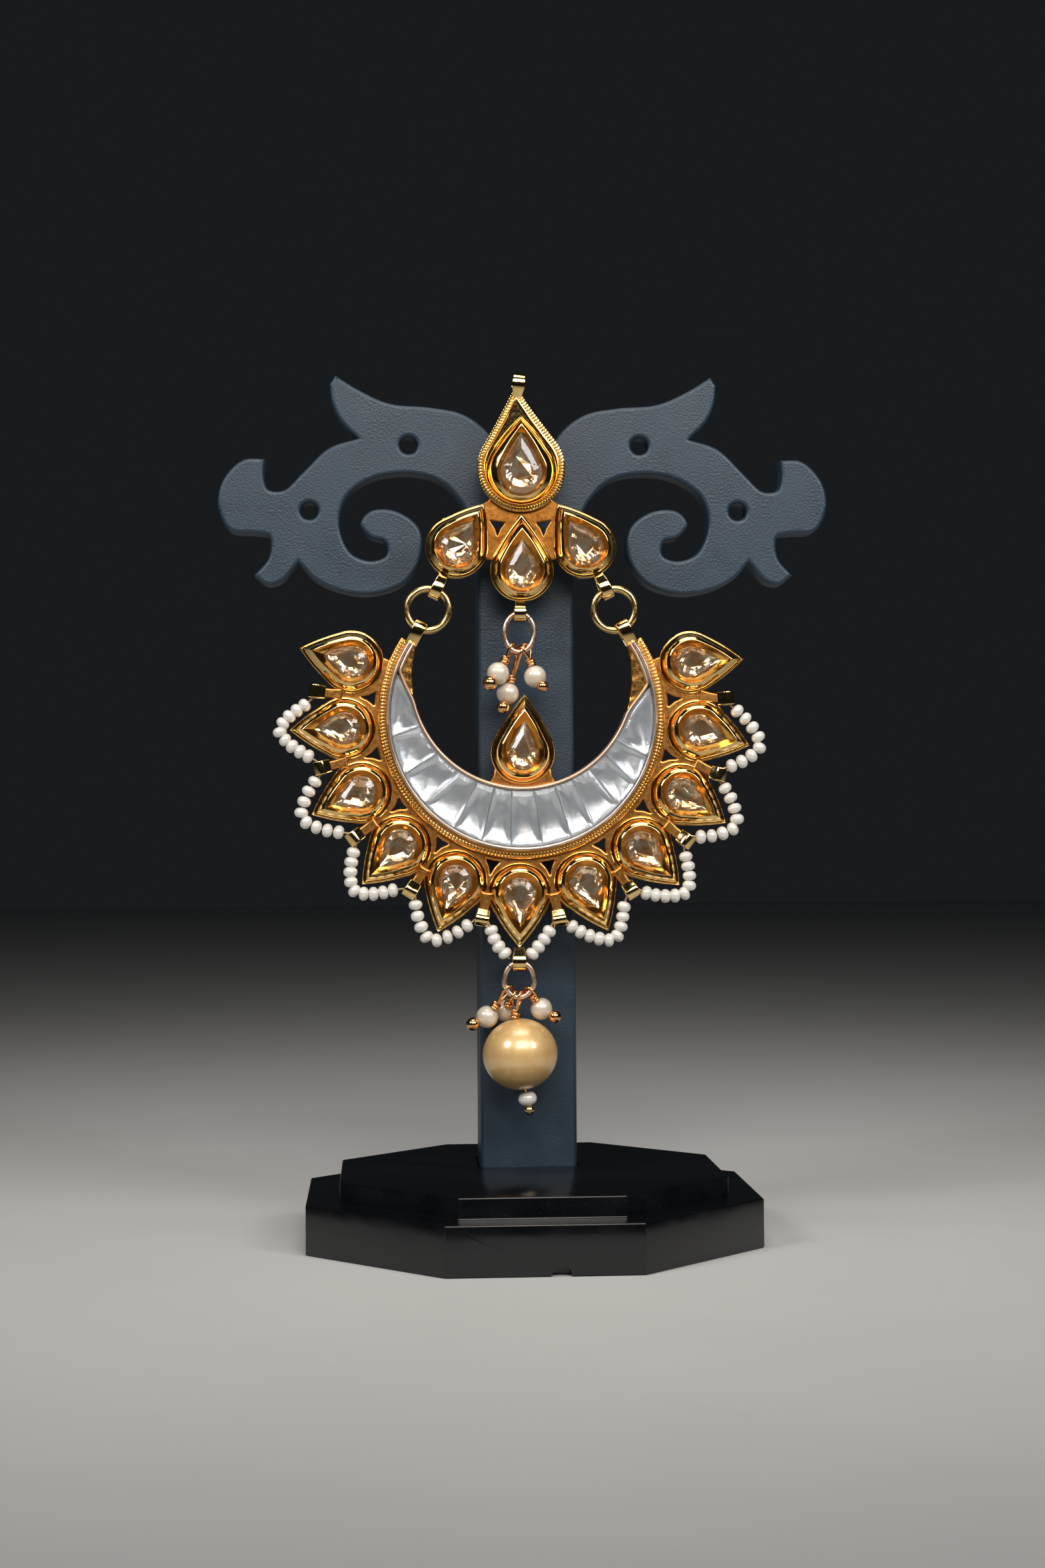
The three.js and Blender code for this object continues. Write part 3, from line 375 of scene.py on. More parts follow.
# %% [markdown]
# ## Moulded plastic
#
# The tree is polystyrene from a mould with a pebbled skin, so its highlight is broad and broken up. The
# pebbles are about 0.4 mm across. The base is the same plastic from a polished mould: a sharp, faint
# mirror that shows every speck of dust.

# %% Plastic materials
def plastic(name, shades, rough, pebble, depth):
    """Moulded plastic: two shades, roughness from and to, and the size and depth of its pebbles."""
    material, tree, shader, places = new_material(name)
    shader.inputs["IOR"].default_value = 1.55
    clouds = add(tree, "ShaderNodeTexNoise", {"Vector": places, "Scale": 1 / (5 * MM), "Detail": 4.0})
    tint = {0: clouds.outputs["Fac"], 6: colour(shades[0]), 7: colour(shades[1])}
    tint = add(tree, "ShaderNodeMix", tint, data_type="RGBA")
    tree.links.new(tint.outputs[2], shader.inputs["Base Color"])
    dull = {"Value": clouds.outputs["Fac"], "From Min": 0.3, "From Max": 0.7}
    dull = add(tree, "ShaderNodeMapRange", {**dull, "To Min": rough[0], "To Max": rough[1]})
    tree.links.new(dull.outputs["Result"], shader.inputs["Roughness"])
    pebbles = add(tree, "ShaderNodeTexNoise", {"Vector": places, "Scale": 1 / (pebble * MM), "Detail": 2.0})
    pebbles = add(tree, "ShaderNodeBump", {"Height": pebbles.outputs["Fac"], "Distance": depth * MM})
    sink = add(tree, "ShaderNodeTexNoise", {"Vector": places, "Scale": 1 / (7 * MM), "Detail": 1.0})
    sink = {"Height": sink.outputs["Fac"], "Distance": 0.08 * MM, "Normal": pebbles.outputs["Normal"]}
    sink = add(tree, "ShaderNodeBump", sink)
    tree.links.new(sink.outputs["Normal"], shader.inputs["Normal"])
    return material, tree, shader, places, tint


slate_plastic = plastic("pebbled_slate_polystyrene", ("#20303d", "#2b3d4b"), (0.36, 0.5), 0.3, 0.05)[0]
polished = plastic("polished_black_polystyrene", ("#08090b", "#0d0f12"), (0.1, 0.22), 0.8, 0.004)
black_plastic, tree, shader, places, tint = polished

# Dust lies on the polished base as pale specks about 0.25 mm apart, most of them far smaller than that.
specks = {"Vector": places, "Scale": 1 / (0.25 * MM), "Detail": 5.0, "Roughness": 0.7}
specks = add(tree, "ShaderNodeTexNoise", specks)
amount = {"Value": specks.outputs["Fac"], "From Min": 0.6, "From Max": 0.8}
amount = add(tree, "ShaderNodeMapRange", amount)
dusty = {0: amount.outputs["Result"], 6: tint.outputs[2], 7: colour("#3c3f41")}
dusty = add(tree, "ShaderNodeMix", dusty, data_type="RGBA")
tree.links.new(dusty.outputs[2], shader.inputs["Base Color"])
print("plastics:", slate_plastic.name, black_plastic.name)

# %% [markdown]
# ## The studio
#
# Jewellery is lit by what it mirrors, so the lamps are broad soft windows and not points. A wide one in
# front and above gives the stones and pearls their white highlights, two smaller ones stand left and
# right, and a weak one overhead lights the upper edges. The room itself stays dark, so that the gold has
# dark parts to mirror as well.

# %% Floor, room and lamps
paint, tree, shader, places = new_material("pale_matt_paint")
clouds = add(tree, "ShaderNodeTexNoise", {"Vector": places, "Scale": 1 / (40 * MM), "Detail": 3.0})
tint = {0: clouds.outputs["Fac"], 6: colour("#c9c8c5"), 7: colour("#d3d2cf")}
tint = add(tree, "ShaderNodeMix", tint, data_type="RGBA")
tree.links.new(tint.outputs[2], shader.inputs["Base Color"])
shader.inputs["Roughness"].default_value = 0.7
FLOOR = 1.5  # metres to each side
FLOOR_TOP = -0.1 * MM  # just clear of the base
floor_mesh = bpy.data.meshes.new("floor")
floor_corners = [(x * FLOOR, y * FLOOR, FLOOR_TOP) for x, y in ((-1, -1), (1, -1), (1, 1), (-1, 1))]
floor_mesh.from_pydata(floor_corners, [], [(0, 1, 2, 3)])
floor_mesh.materials.append(paint)
floor = bpy.data.objects.new("floor", floor_mesh)
bpy.context.scene.collection.objects.link(floor)

bpy.context.scene.view_settings.view_transform = "Standard"
world = bpy.data.worlds.new("room")
bpy.context.scene.world = world
world.use_nodes = True
room = world.node_tree.nodes["Background"]
room.inputs["Color"].default_value = colour("#8f979f")
room.inputs["Strength"].default_value = 0.035

TARGET = Vector((0, 0, 100)) * MM


def softbox(name, azimuth, elevation, distance, size, watts, beam, tint):
    """A soft lamp aimed at the earring. Azimuth 0 is in front and 90 to the right, and elevation is above
    the horizon. A honeycomb grid keeps its light inside a beam of so many degrees, mostly off the floor."""
    a, e = math.radians(azimuth), math.radians(elevation)
    toward = Vector((math.sin(a) * math.cos(e), -math.cos(a) * math.cos(e), math.sin(e)))
    data = bpy.data.lights.new(name, "AREA")
    data.shape = "RECTANGLE"
    data.size, data.size_y = size
    data.energy = watts
    data.spread = math.radians(beam)
    data.color = colour(tint)[:3]
    lamp = bpy.data.objects.new(name, data)
    bpy.context.scene.collection.objects.link(lamp)
    lamp.location = TARGET + toward * distance
    lamp.rotation_euler = toward.to_track_quat("Z", "Y").to_euler()
    print(f"{name}: {watts} W, {size[0]} by {size[1]} m")


LAMPS = {  # name: (azimuth, elevation, distance and size in metres, watts, beam, tint)
    "front_window": (3, 31, 0.42, (0.33, 0.21), 0.25, 70, "#fffaf4"),
    "left_window": (-51, 28, 0.42, (0.11, 0.13), 0.1, 70, "#f6f9ff"),
    "right_window": (42, 25, 0.42, (0.11, 0.13), 0.09, 70, "#f6f9ff"),
    "overhead_window": (0, 80, 0.35, (0.28, 0.14), 0.09, 70, "#fffaf0"),
}
for name, values in LAMPS.items():
    softbox(name, *values)

# %% [markdown]
# ## Where the pears lie
#
# Every pear-shaped setting holds a stone, and the frame has each stone. The tip of a stone is its
# farthest point from the rest, and the round end lies opposite. From these two comes the pear's middle,
# its direction and its reach, so no petal is placed by hand.

# %% Read the pears from the frame
SEAT_SHARE = 2.6 / 4.2  # the pocket's size as a share of the whole setting's
STONE_GAP = 0.3  # between a stone in the frame and its pocket


def pear_place(node, radius):
    """The setting round a stone: the middle of its round end, and the direction and distance of its tip."""
    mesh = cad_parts[node].data
    p = np.array([(v.co.x / MM - EARRING_X, v.co.z / MM) for v in mesh.vertices])
    middle = p.mean(0)
    tip = p[np.argmax(np.linalg.norm(p - middle, axis=1))]
    along = unit(tip - middle)
    foot = p[np.argmin(p @ along)]
    for _ in range(4):
        along = unit(tip - foot)
        foot = p[np.argmin(p @ along)]
    share = SEAT_SHARE - STONE_GAP / radius
    centre = foot + along * radius * share
    return centre, along, np.linalg.norm(tip - centre) / share


def pear(centre, along, radius, reach, height, steps=48, side=7, bulge=0.0, wave=0.0):
    """A pear outline: a round end, two sides that bulge a little, and a sharp tip."""
    start = math.acos(min(radius / reach, 0.999))
    a = np.linspace(start, 2 * math.pi - start, steps + 1)
    r = radius * (1 + wave * (np.sin(3 * a + centre[0]) + 0.6 * np.sin(7 * a + centre[1])))
    end = np.stack([-r * np.sin(a), r * np.cos(a)], 1)
    tip = np.array([0, reach])
    t = np.linspace(0, 1, side + 1)[1:-1, None]
    swell = bulge * np.sin(math.pi * t)
    rising = end[-1] + (tip - end[-1]) * t + swell * unit([tip[1] - end[-1][1], end[-1][0] - tip[0]])
    falling = tip + (end[0] - tip) * t + swell * unit([end[0][1] - tip[1], tip[0] - end[0][0]])
    outline = np.concatenate([end, rising, [tip], falling])
    right = np.array([along[1], -along[0]])
    flat = np.asarray(centre) + outline[:, :1] * right + outline[:, 1:] * along
    return np.column_stack([flat, np.full(len(flat), height)])


PETALS = [f"petal_stone_{k:02d}" for k in range(1, 12)]
petal_places = {node: pear_place(node, 4.2) for node in PETALS}
for node, (centre, along, reach) in petal_places.items():
    print(node, "centre", centre.round(2), "reach", round(float(reach), 2))

# %% [markdown]
# ## A raised setting
#
# The goldsmith raises a strip round each stone: a low wall with a fine rim and a groove, a broad bevel
# that rises to a narrow ridge, and an inner bevel that goes down and holds the stone's edge. It could be
# a curve with a bevel object, but the tip has to stay sharp, so the outline is repeated at each level of
# the profile and skinned. The inner pears are longer for their width than the outer one, so each
# outline's reach is read between three known ones.

# %% Settings
FORMS = {  # (radius, tip's reach, shift away from the tip) of the outside, the ridge and the stone, in mm
    "petal": [(4.22, 7.25, 0), (2.98, 5.5, 0), (2.2, 3.95, 0)],
    "top": [(4.8, 7.4, 0.1), (3.4, 6.4, 0.4), (2.85, 5.5, 0.5)],
    "side": [(4.2, 6.95, 0), (3.05, 5.35, 0.1), (2.42, 4.15, 0.15)],
    "middle": [(4.27, 7.7, 0), (3.06, 5.6, 0.1), (2.26, 4.3, 0.2)],
    "inner": [(4.3, 7.85, 0), (2.98, 5.75, 0.1), (2.1, 4.5, 0.3)],
}
# Each part of the profile is a list of (step or share, height), from the outside in.
RIM = [(0, 0), (0, 1.02), (0.03, 1.12), (0.1, 1.17), (0.17, 1.14), (0.22, 1.05), (0.27, 1.06), (0.32, 1.13)]
BEVEL = [(0, 1.2), (0.12, 1.5), (0.3, 1.82), (0.52, 2.1), (0.78, 2.34), (1, 2.46)]  # share of the way up
RIDGE = [(0.04, 2.49), (0.09, 2.49), (0.13, 2.44)]  # steps in from the ridge's edge
WALL = [(0.1, 2.34), (0.4, 2.1), (0.7, 1.9), (0.9, 1.78), (1, 1.71)]  # share of the way down to the stone
POCKET = [(-0.03, 1.67), (0.12, 1.62), (0.12, 0.75)]  # steps out from the stone's seen edge
BEVEL_START, WALL_START = 0.36, 0.13  # steps in from the outside, and from the ridge's edge


def nested(place, form, radius, height, **options):
    """A pear of any radius between the stone and the outside of a setting."""
    centre, along, _ = place
    outside, ridge, stone = (np.array(row) for row in FORMS[form])
    inner, outer = (stone, ridge) if radius < ridge[0] else (ridge, outside)
    _, reach, shift = inner + (outer - inner) * (radius - inner[0]) / (outer[0] - inner[0])
    return pear(centre - along * shift, along, radius, reach, height, **options)


def setting(place, form):
    """A setting's strip, and the wall inside its ridge. The pocket's floor is the last flat face."""
    outer, ridge, stone = (row[0] for row in FORMS[form])
    levels = [(outer - step, h) for step, h in RIM]
    start = outer - BEVEL_START
    levels += [(start + (ridge - start) * share, h) for share, h in BEVEL]
    levels += [(ridge - step, h) for step, h in RIDGE]
    outside = len(levels)
    start = ridge - WALL_START
    levels += [(start + (stone - start) * share, h) for share, h in WALL]
    levels += [(stone + step, h) for step, h in POCKET]
    loops = [nested(place, form, r, h, bulge=0.16, wave=0.005) for r, h in levels]
    points, faces = skin(loops)
    n = len(loops[0])
    wall = [face for face in faces if min(face) >= (outside - 1) * n]
    rest = [face for face in faces if min(face) < (outside - 1) * n]
    # The wall inside the ridge takes the darker copy of the gold, painted with shade.
    return [((points, rest), burnished_gold), ((points, wall), shaded_wall_gold)]


# %% [markdown]
# ## A faceted pear stone
#
# Seen from the front, a pear stone has a flat table, and round it a crown of kites and triangles. A kite
# lies at each corner of the table and a triangle on each of its edges, so the girdle has two points for
# each corner. Facets are flat, so the crown isn't smoothed. The back is cut to shallow facets too, and
# the foil lies on it. Hand-cut facets are never quite even, and each catches another part of the room.
# The back is deepest a little above its middle, so most of the foil leans up to the lamps and the stone's
# lower half is bright.

# %% Pear stones
GIRDLE, TABLE = 1.5, 2.1  # heights above the metal's back
GIRDLE_THICK = 0.06
UNDER_METAL = 0.06  # how far the girdle reaches under the setting
CORNERS = 10  # of the table, the tip among them
TABLE_SHARE, TABLE_SHIFT = 0.56, 0.3  # its size as a share of the girdle's, and its shift towards the tip
PAVILION = [(0.78, 1.36), (0.5, 1.24)]  # (share of the girdle, height) of the back's rings of facets
FOIL_LEAN = 0.5  # how far above its middle the back is deepest
UNEVEN = [0.05, 0.05, 0.035]  # of the back's facets


def pear_stone(place, form):
    """The crown and the foil back of a stone that fills a setting's pocket."""
    stone, _, shift = FORMS[form][2]
    even = nested(place, form, stone + UNDER_METAL, GIRDLE, steps=2 * (CORNERS - 2), side=2, bulge=0.1)
    n = len(even)
    centre, along, _ = place
    heart = np.append(centre - along * (shift - TABLE_SHIFT), 0)
    order = [(n - 2 + k) % n for k in range(n)]  # from the tip round
    girdle = even[order]
    upper = girdle + [0, 0, GIRDLE_THICK]
    table = heart + (girdle[::2] - heart) * [TABLE_SHARE, TABLE_SHARE, 0] + [0, 0, TABLE]
    corners = len(table)
    crown = [tuple(n + k for k in range(corners))]
    for k in range(corners):
        after = (k + 1) % corners
        crown.append((n + k, 2 * k + 1, n + after))
        crown.append((n + k, (2 * k - 1) % n, 2 * k))
        crown.append((n + k, 2 * k, 2 * k + 1))
    random = np.random.default_rng(int(abs(centre[0]) * 10))
    rings = []
    for share, height in PAVILION:
        ring = heart + (girdle - heart) * [share, share, 0] + [0, FOIL_LEAN * (1 - share), 0]
        rings.append(ring + random.normal(0, UNEVEN, ring.shape) + [0, 0, height])
    back_points = np.concatenate([upper, girdle, *rings])
    back = [(n + (k + 1) % n, (k + 1) % n, k, n + k) for k in range(n)]
    last = (len(PAVILION) + 1) * n
    for ring in range(n, last, n):
        for k in range(n):
            after = (k + 1) % n
            back += [(ring + after, ring + k, ring + n + k), (ring + after, ring + n + k, ring + n + after)]
    back.append(tuple(range(last, last + n))[::-1])
    return (np.concatenate([upper, table]), crown), (back_points, back)


def stone_piece(node, body, place, form):
    crown, back = pear_stone(place, form)
    shapes = [(crown, champagne_glass), (back, gold_foil)]
    make(f"{node}_cut", shapes, body, node, crease=0)


for node, place in petal_places.items():
    stone_piece(node, "drop", place, "petal")
stud_pears = {  # stone: (its form, the radius of its setting in the frame)
    "stud_stone_top": ("top", 4.87), "stud_stone_left": ("side", 4.2),
    "stud_stone_right": ("side", 4.2), "stud_stone_middle": ("middle", 4.3),
}
stud_places = {node: pear_place(node, radius) for node, (form, radius) in stud_pears.items()}
for node, (form, radius) in stud_pears.items():
    stone_piece(node, "root", stud_places[node], form)
inner_place = pear_place("inner_stone", 4.3)
stone_piece("inner_stone", "drop", inner_place, "inner")

# %% [markdown]
# ## Smooth routes
#
# A thread or a bent outline passes through a few points. A Catmull-Rom curve goes smoothly through all of
# them, and its centripetal kind makes no loops where two points lie close together.

# %% A smooth curve through points
def smooth_route(points, steps):
    """A centripetal Catmull-Rom curve: steps places on each stretch between two points."""
    p = np.asarray(points, float)
    p = np.vstack([2 * p[0] - p[1], p, 2 * p[-1] - p[-2]])
    route = []
    for a, b, c, d in zip(p, p[1:], p[2:], p[3:]):
        gap = [max(np.linalg.norm(v - u), 1e-6) ** 0.5 for u, v in ((a, b), (b, c), (c, d))]
        start = ((b - a) / gap[0] - (c - a) / (gap[0] + gap[1]) + (c - b) / gap[1]) * gap[1]
        end = ((c - b) / gap[1] - (d - b) / (gap[1] + gap[2]) + (d - c) / gap[2]) * gap[1]
        t = np.arange(steps)[:, None] / steps
        squared, cubed = 3 * (c - b) - 2 * start - end, 2 * (b - c) + start + end
        route.append(b + start * t + squared * t ** 2 + cubed * t ** 3)
    return np.vstack(route + [p[-2:-1]])


# %% [markdown]
# ## Sheet metal with holes
#
# The webs between the settings are thin cast plates with pierced gaps, and the stand's arms are one thick
# plate with round holes. Blender fills a flat curve with holes by itself and rounds its edges with a
# bevel, so both are made that way: an outline, the outlines of the holes, a thickness and an edge. The
# result is read back as a mesh.

# %% Plates
def plate(outlines, low, high, edge, soft=2):
    """A flat plate between two heights, with rounded edges. The outlines after the first are its holes."""
    data = bpy.data.curves.new("outline", "CURVE")
    data.dimensions, data.fill_mode = "2D", "BOTH"
    data.extrude, data.bevel_depth, data.bevel_resolution = (high - low) / 2 - edge, edge, soft
    data.offset = -edge
    for outline in outlines:
        spline = data.splines.new("POLY")
        spline.points.add(len(outline) - 1)
        spline.use_cyclic_u = True
        for point, (x, y) in zip(spline.points, outline):
            point.co = (x, y, 0, 1)
    curve = bpy.data.objects.new("outline", data)
    bpy.context.scene.collection.objects.link(curve)
    mesh = bpy.data.meshes.new_from_object(curve.evaluated_get(bpy.context.evaluated_depsgraph_get()))
    points = np.array([v.co for v in mesh.vertices]) + [0, 0, (low + high) / 2]
    faces = [tuple(p.vertices) for p in mesh.polygons]
    bpy.data.objects.remove(curve)
    return points, faces


def around(radius, degrees, x=0.0, y=CRESCENT_Y):
    """A point at an angle from straight down, positive to the right, about (x, y)."""
    a = np.radians(degrees)
    return np.stack([x + radius * np.sin(a), y - radius * np.cos(a)], -1)


def rounded(corners, radius, steps=5):
    """A closed outline through the corners, each cut round."""
    corners = np.asarray(corners, float)
    outline = []
    for k, corner in enumerate(corners):
        before, after = unit(corners[k - 1] - corner), unit(corners[(k + 1) % len(corners)] - corner)
        t = np.linspace(0, 1, steps)[:, None]
        start, end = corner + before * radius, corner + after * radius
        outline.append((1 - t) ** 2 * start + 2 * t * (1 - t) * corner + t ** 2 * end)
    return np.concatenate(outline)


def strap(root, middle, outer, bore, width, root_width, long=None):
    """A strap bent to a loop round a bore: out from its root in front, round the middle, and back behind.
    Outer and bore are the loop's radii, and the root's width is a share of the strap's. A loop that isn't
    round reaches as far as long says."""
    root, middle = np.asarray(root, float), np.asarray(middle, float)
    pull = unit(middle - root)
    side = np.array([pull[1], -pull[0], 0])
    reach, bend, thick = np.linalg.norm(middle - root), (outer + bore) / 2, (outer - bore)
    bend_along = bend if long is None else long - thick / 2
    turn = np.radians(np.linspace(80, -80, 9))
    strand = [(0, 0.22), (reach * 0.4, 0.22 + 0.5 * (bend - 0.22)), (reach * 0.75, bend * 0.94)]
    bent = [(reach + bend_along * math.cos(a), bend * math.sin(a)) for a in turn]
    route = smooth_route(strand + bent + [(u, -v) for u, v in strand[::-1]], 3)
    ahead = unit(np.gradient(route, axis=0))
    loops = []
    for (u, v), (du, dv) in zip(route, ahead):
        centre = np.array([*(root + pull * u), HANG_HEIGHT + v])
        out = np.cross([*(pull * du), dv], side)
        opened = min(1, max(0, u / reach / 0.7) ** 1.3)
        x, y = width * (root_width + (1 - root_width) * opened) / 2, thick / 2
        section = rounded([(-x, -y), (x, -y), (x, y), (-x, y)], thick * 0.35, 4)
        loops.append([centre + side * x + out * y for x, y in section])
    return skin(loops), burnished_gold


def bridge(start, end, start_half, end_half, low=0.2, high=1.35):
    """A cast neck between two points: wide where it leaves the web and waisted before the lug."""
    start, end = np.asarray(start, float), np.asarray(end, float)
    pull = unit(end - start)
    side = np.array([pull[1], -pull[0]])
    middle = start + (end - start) * 0.5
    outline = [start - side * start_half, start + side * start_half]
    outline += [middle + side * end_half, end + side * end_half]
    outline += [end - side * end_half, middle - side * end_half]
    return plate([rounded(outline, 0.2)], low, high, edge=0.25), cast_gold


def milgrain(path, height, width, pitch, tall=0.34):
    """A row of small beads pressed along a path, each longer across the band than along it."""
    path = np.asarray(path, float)
    steps = np.linalg.norm(np.diff(path, axis=0), axis=1)
    run = np.concatenate([[0], np.cumsum(steps)])
    count = int(run[-1] / pitch)
    half_bead, look_ahead = pitch * 0.47, 0.05
    shapes = []
    across, turn = np.linspace(0, math.pi, 7), np.linspace(0, 2 * math.pi, 9)[:-1]
    for k in range(count):
        at = (k + 0.5) * run[-1] / count
        p = np.array([np.interp(at, run, path[:, i]) for i in (0, 1)])
        ahead = np.array([np.interp(at + look_ahead, run, path[:, i]) for i in (0, 1)])
        along = unit(ahead - p) if at + look_ahead < run[-1] else along
        side = np.array([along[1], -along[0]])
        loops = []
        for a in across[1:-1]:
            r = math.sin(a)
            flat = p - side * width / 2 * math.cos(a)
            ring = [(flat + along * half_bead * r * math.cos(b), tall * r * math.sin(b)) for b in turn]
            loops.append([(*point, height + up) for point, up in ring])
        shapes.append(skin(loops))
    return join(shapes)


def join(shapes):
    """Several shapes as one."""
    joined, start = [], 0
    for points, faces in shapes:
        joined += [tuple(start + i for i in face) for face in faces]
        start += len(points)
    return np.concatenate([points for points, _ in shapes]), joined


# %% [markdown]
# ## The stud
#
# A large pear in a beaded border stands over three smaller pears, and a cast web with two pierced gaps
# joins them. The loop on top, the two side lugs and the middle lug are soldered on. A plain post goes
# back through the stand.

# %% Stud
border_centre, border_tip = np.array([0.1, 103.1]), np.array([-0.65, 114.2])
BORDER_RADIUS = 5.93
border_along = unit(border_tip - border_centre)
border_reach = np.linalg.norm(border_tip - border_centre)
BORDER_PROFILE = [  # (radius, height): the outer edge, the bed of the beads, and a fine rim inside it
    (BORDER_RADIUS, 0.04), (BORDER_RADIUS, 1.2), (5.9, 1.3), (5.82, 1.36), (5.16, 1.42),
    (5.1, 1.5), (5.04, 1.62), (4.98, 1.64), (4.92, 1.58), (4.88, 1.45), (4.86, 1.12),
]


def border_pear(radius, height, **options):
    """The border's outline at a distance from its middle."""
    reach = border_reach * radius / BORDER_RADIUS
    return pear(border_centre, border_along, radius, reach, height, bulge=-0.1, **options)


border = skin([border_pear(r, h, steps=72, side=14) for r, h in BORDER_PROFILE])
bead_path = border_pear(5.5, 0, steps=120, side=24)
bead_path = np.vstack([bead_path, bead_path[:1]])[:, :2]
bead_row = milgrain(bead_path, height=1.34, width=0.86, pitch=0.41)
web_outline = [
    (-8, 94.5), (-5.2, 91), (0, 90), (5.2, 91), (8, 94.5),
    (5.1, 98.4), (3.4, 99.4), (-3.4, 99.4), (-5.1, 98.4),
]
gap = [(4.1, 96.1), (2.1, 95.8), (2.75, 95), (3.1, 94), (3.4, 95)]
gaps = [rounded([(s * x, y) for x, y in gap], 0.25) for s in (-1, 1)]
web = plate([rounded(web_outline, 0.8), *gaps], low=0.08, high=0.72, edge=0.2)
post = turned([(0.45, 0), (0.45, 10.9), (0.4, 11.3), (0.2, 11.5)], (0, 100.4, 0.5), (0, 0, -1), 16)
# The stud's web takes the darker cast gold, painted with shade.
stud_shapes = [(border, burnished_gold), (bead_row, burnished_gold), (web, shadowed_web_gold), (post, drawn_gold)]
for node, (form, radius) in stud_pears.items():
    stud_shapes += setting(stud_places[node], form)
stud_shapes += [
    strap((-0.4, 112.5), (-0.2, 114.4), outer=1.45, bore=0.95, width=1.75, root_width=0.7),
    strap((-0.2, 85.2), (-0.2, 83.6), outer=1.25, bore=0.9, width=1.6, root_width=0.75),
]
for s in (-1, 1):
    lug = strap((s * 10.2, 89.1), (s * 11.28, 86.84), outer=1.45, bore=1.14, width=1.5, root_width=0.75)
    stud_shapes.append(lug)
make("stud_metal", stud_shapes, "root", "stud_frame")

# %% [markdown]
# ## The crescent
#
# The crescent is a channel between two walls: its outer wall carries a row of milgrain beads, its inner
# wall is a thin bright lip. Its section is the same all the way round, apart from the inner wall, which
# comes nearer towards the horns because its circle is higher. So the section is set at many angles and
# skinned, as a swept profile.

# %% Crescent band
OUTER, INNER = 19.2, 14.63  # the radii of its outer and its inner circle
RISE = 5.13  # how far the inner circle's middle lies above the crescent's
HORN = 123  # the angle of the horns' ends
BEAD_WIDTH = 1.1
WALL_FACE = OUTER - BEAD_WIDTH  # where the outer wall meets the beads
STONE_TIPS = (-110.0, 103.8)  # the angles where the end stones run out
LIP_TURN = 14  # degrees before a stone's tip, where the inner lip leaves the inner circle


def inner_reach(degrees):
    """How far the inner circle lies from the crescent's middle."""
    drop = RISE * np.cos(np.radians(degrees))
    return -drop + np.sqrt(drop ** 2 + INNER ** 2 - RISE ** 2)


def lip_reach(degrees):
    """The inner lip follows the inner circle, and turns out to the outer wall at each end stone's tip."""
    tip = STONE_TIPS[0] if degrees < 0 else STONE_TIPS[1]
    t = np.clip((abs(degrees) - abs(tip) + LIP_TURN) / LIP_TURN, 0, 1)
    inner = inner_reach(degrees)
    return inner + (WALL_FACE - 1.05 - inner) * t ** 2


def band(section, start, end, stations=220):
    """A swept strip of the crescent. Its section gives (distance from the middle, height) at an angle."""
    return skin([[(*around(r, a), h) for r, h in section(a)] for a in np.linspace(start, end, stations)])


# Sections as (step out, height). Their undersides differ a little in height, so that no two coincide.
LIP = [
    (0, 0.04), (0, 2.0), (0.06, 2.17), (0.17, 2.28), (0.27, 2.31),
    (0.37, 2.27), (0.48, 2.16), (0.53, 2.0), (0.53, 0.04),
]
OUTER_LIP = [
    (-0.5, 0.05), (-0.5, 2.0), (-0.44, 2.17), (-0.34, 2.27), (-0.25, 2.3),
    (-0.15, 2.27), (-0.05, 2.17), (0, 2.0), (0, 0.05),
]
BEAD_BED = [(-0.1, 0.03), (-0.1, 1.6), (0.5, 1.5), (0.95, 1.4), (1.05, 1.34), (1.1, 1.22), (1.1, 0.03)]


def horn_section(degrees):
    """The filled horn, from the inner circle to the lip, or to the outer wall past the stone's tip."""
    inner, past = inner_reach(degrees), not STONE_TIPS[0] < degrees < STONE_TIPS[1]
    outer = WALL_FACE - 0.4 if past else float(lip_reach(degrees)) + 0.2
    outer = max(outer, inner + 0.3)
    rough = 0.04 * math.sin(degrees * 0.55) + 0.03 * math.sin(degrees * 1.3 + 1)
    top = [(inner + 0.06, 1.75), (inner + 0.16, 1.86 + rough), (inner + 0.3, 1.9 + rough)]
    return [(inner, 0.06), (inner, 1.5), *top, (outer, 1.85 - rough), (outer, 0.06)]


def stone_bed(degrees):
    """The floor of the channel, under the stones."""
    inner, outer = lip_reach(degrees) + 0.4, WALL_FACE - 0.4
    return [(inner, 0.02), (inner, 0.95), (outer, 0.95), (outer, 0.02)]


bed_ends = np.array(STONE_TIPS) * 0.985  # just short of the stones' tips
crescent_shapes = [
    (band(lambda a: [(lip_reach(a) + step, h) for step, h in LIP], -HORN, HORN), worn_rose),
    (band(lambda a: [(WALL_FACE + step, h) for step, h in OUTER_LIP], -HORN, HORN), worn_silver),
    (band(lambda a: [(WALL_FACE + step, h) for step, h in BEAD_BED], -HORN, HORN), cast_gold),
    (band(stone_bed, *bed_ends), seam_foil),
    (band(horn_section, -HORN, STONE_TIPS[0] + LIP_TURN - 2, 60), filed_gold),
    (band(horn_section, STONE_TIPS[1] - LIP_TURN + 2, HORN, 60), filed_gold),
]
grain_path = around(OUTER - 0.54, np.linspace(-HORN + 0.6, HORN - 0.6, 400))
grain = milgrain(grain_path, height=1.46, width=0.94, pitch=0.46)
crescent_shapes.append((grain, burnished_gold))

# %% [markdown]
# ## Petals, web and lugs of the crescent
#
# Eleven petals stand round the crescent on one cast web, which is pierced by a small triangle between
# each two. A lug in each notch holds the threads of the seed beads, one at each horn holds a jump ring,
# and one hangs from the bottom petal. The web's outline and the gaps follow the petals' places, which
# came from the frame.

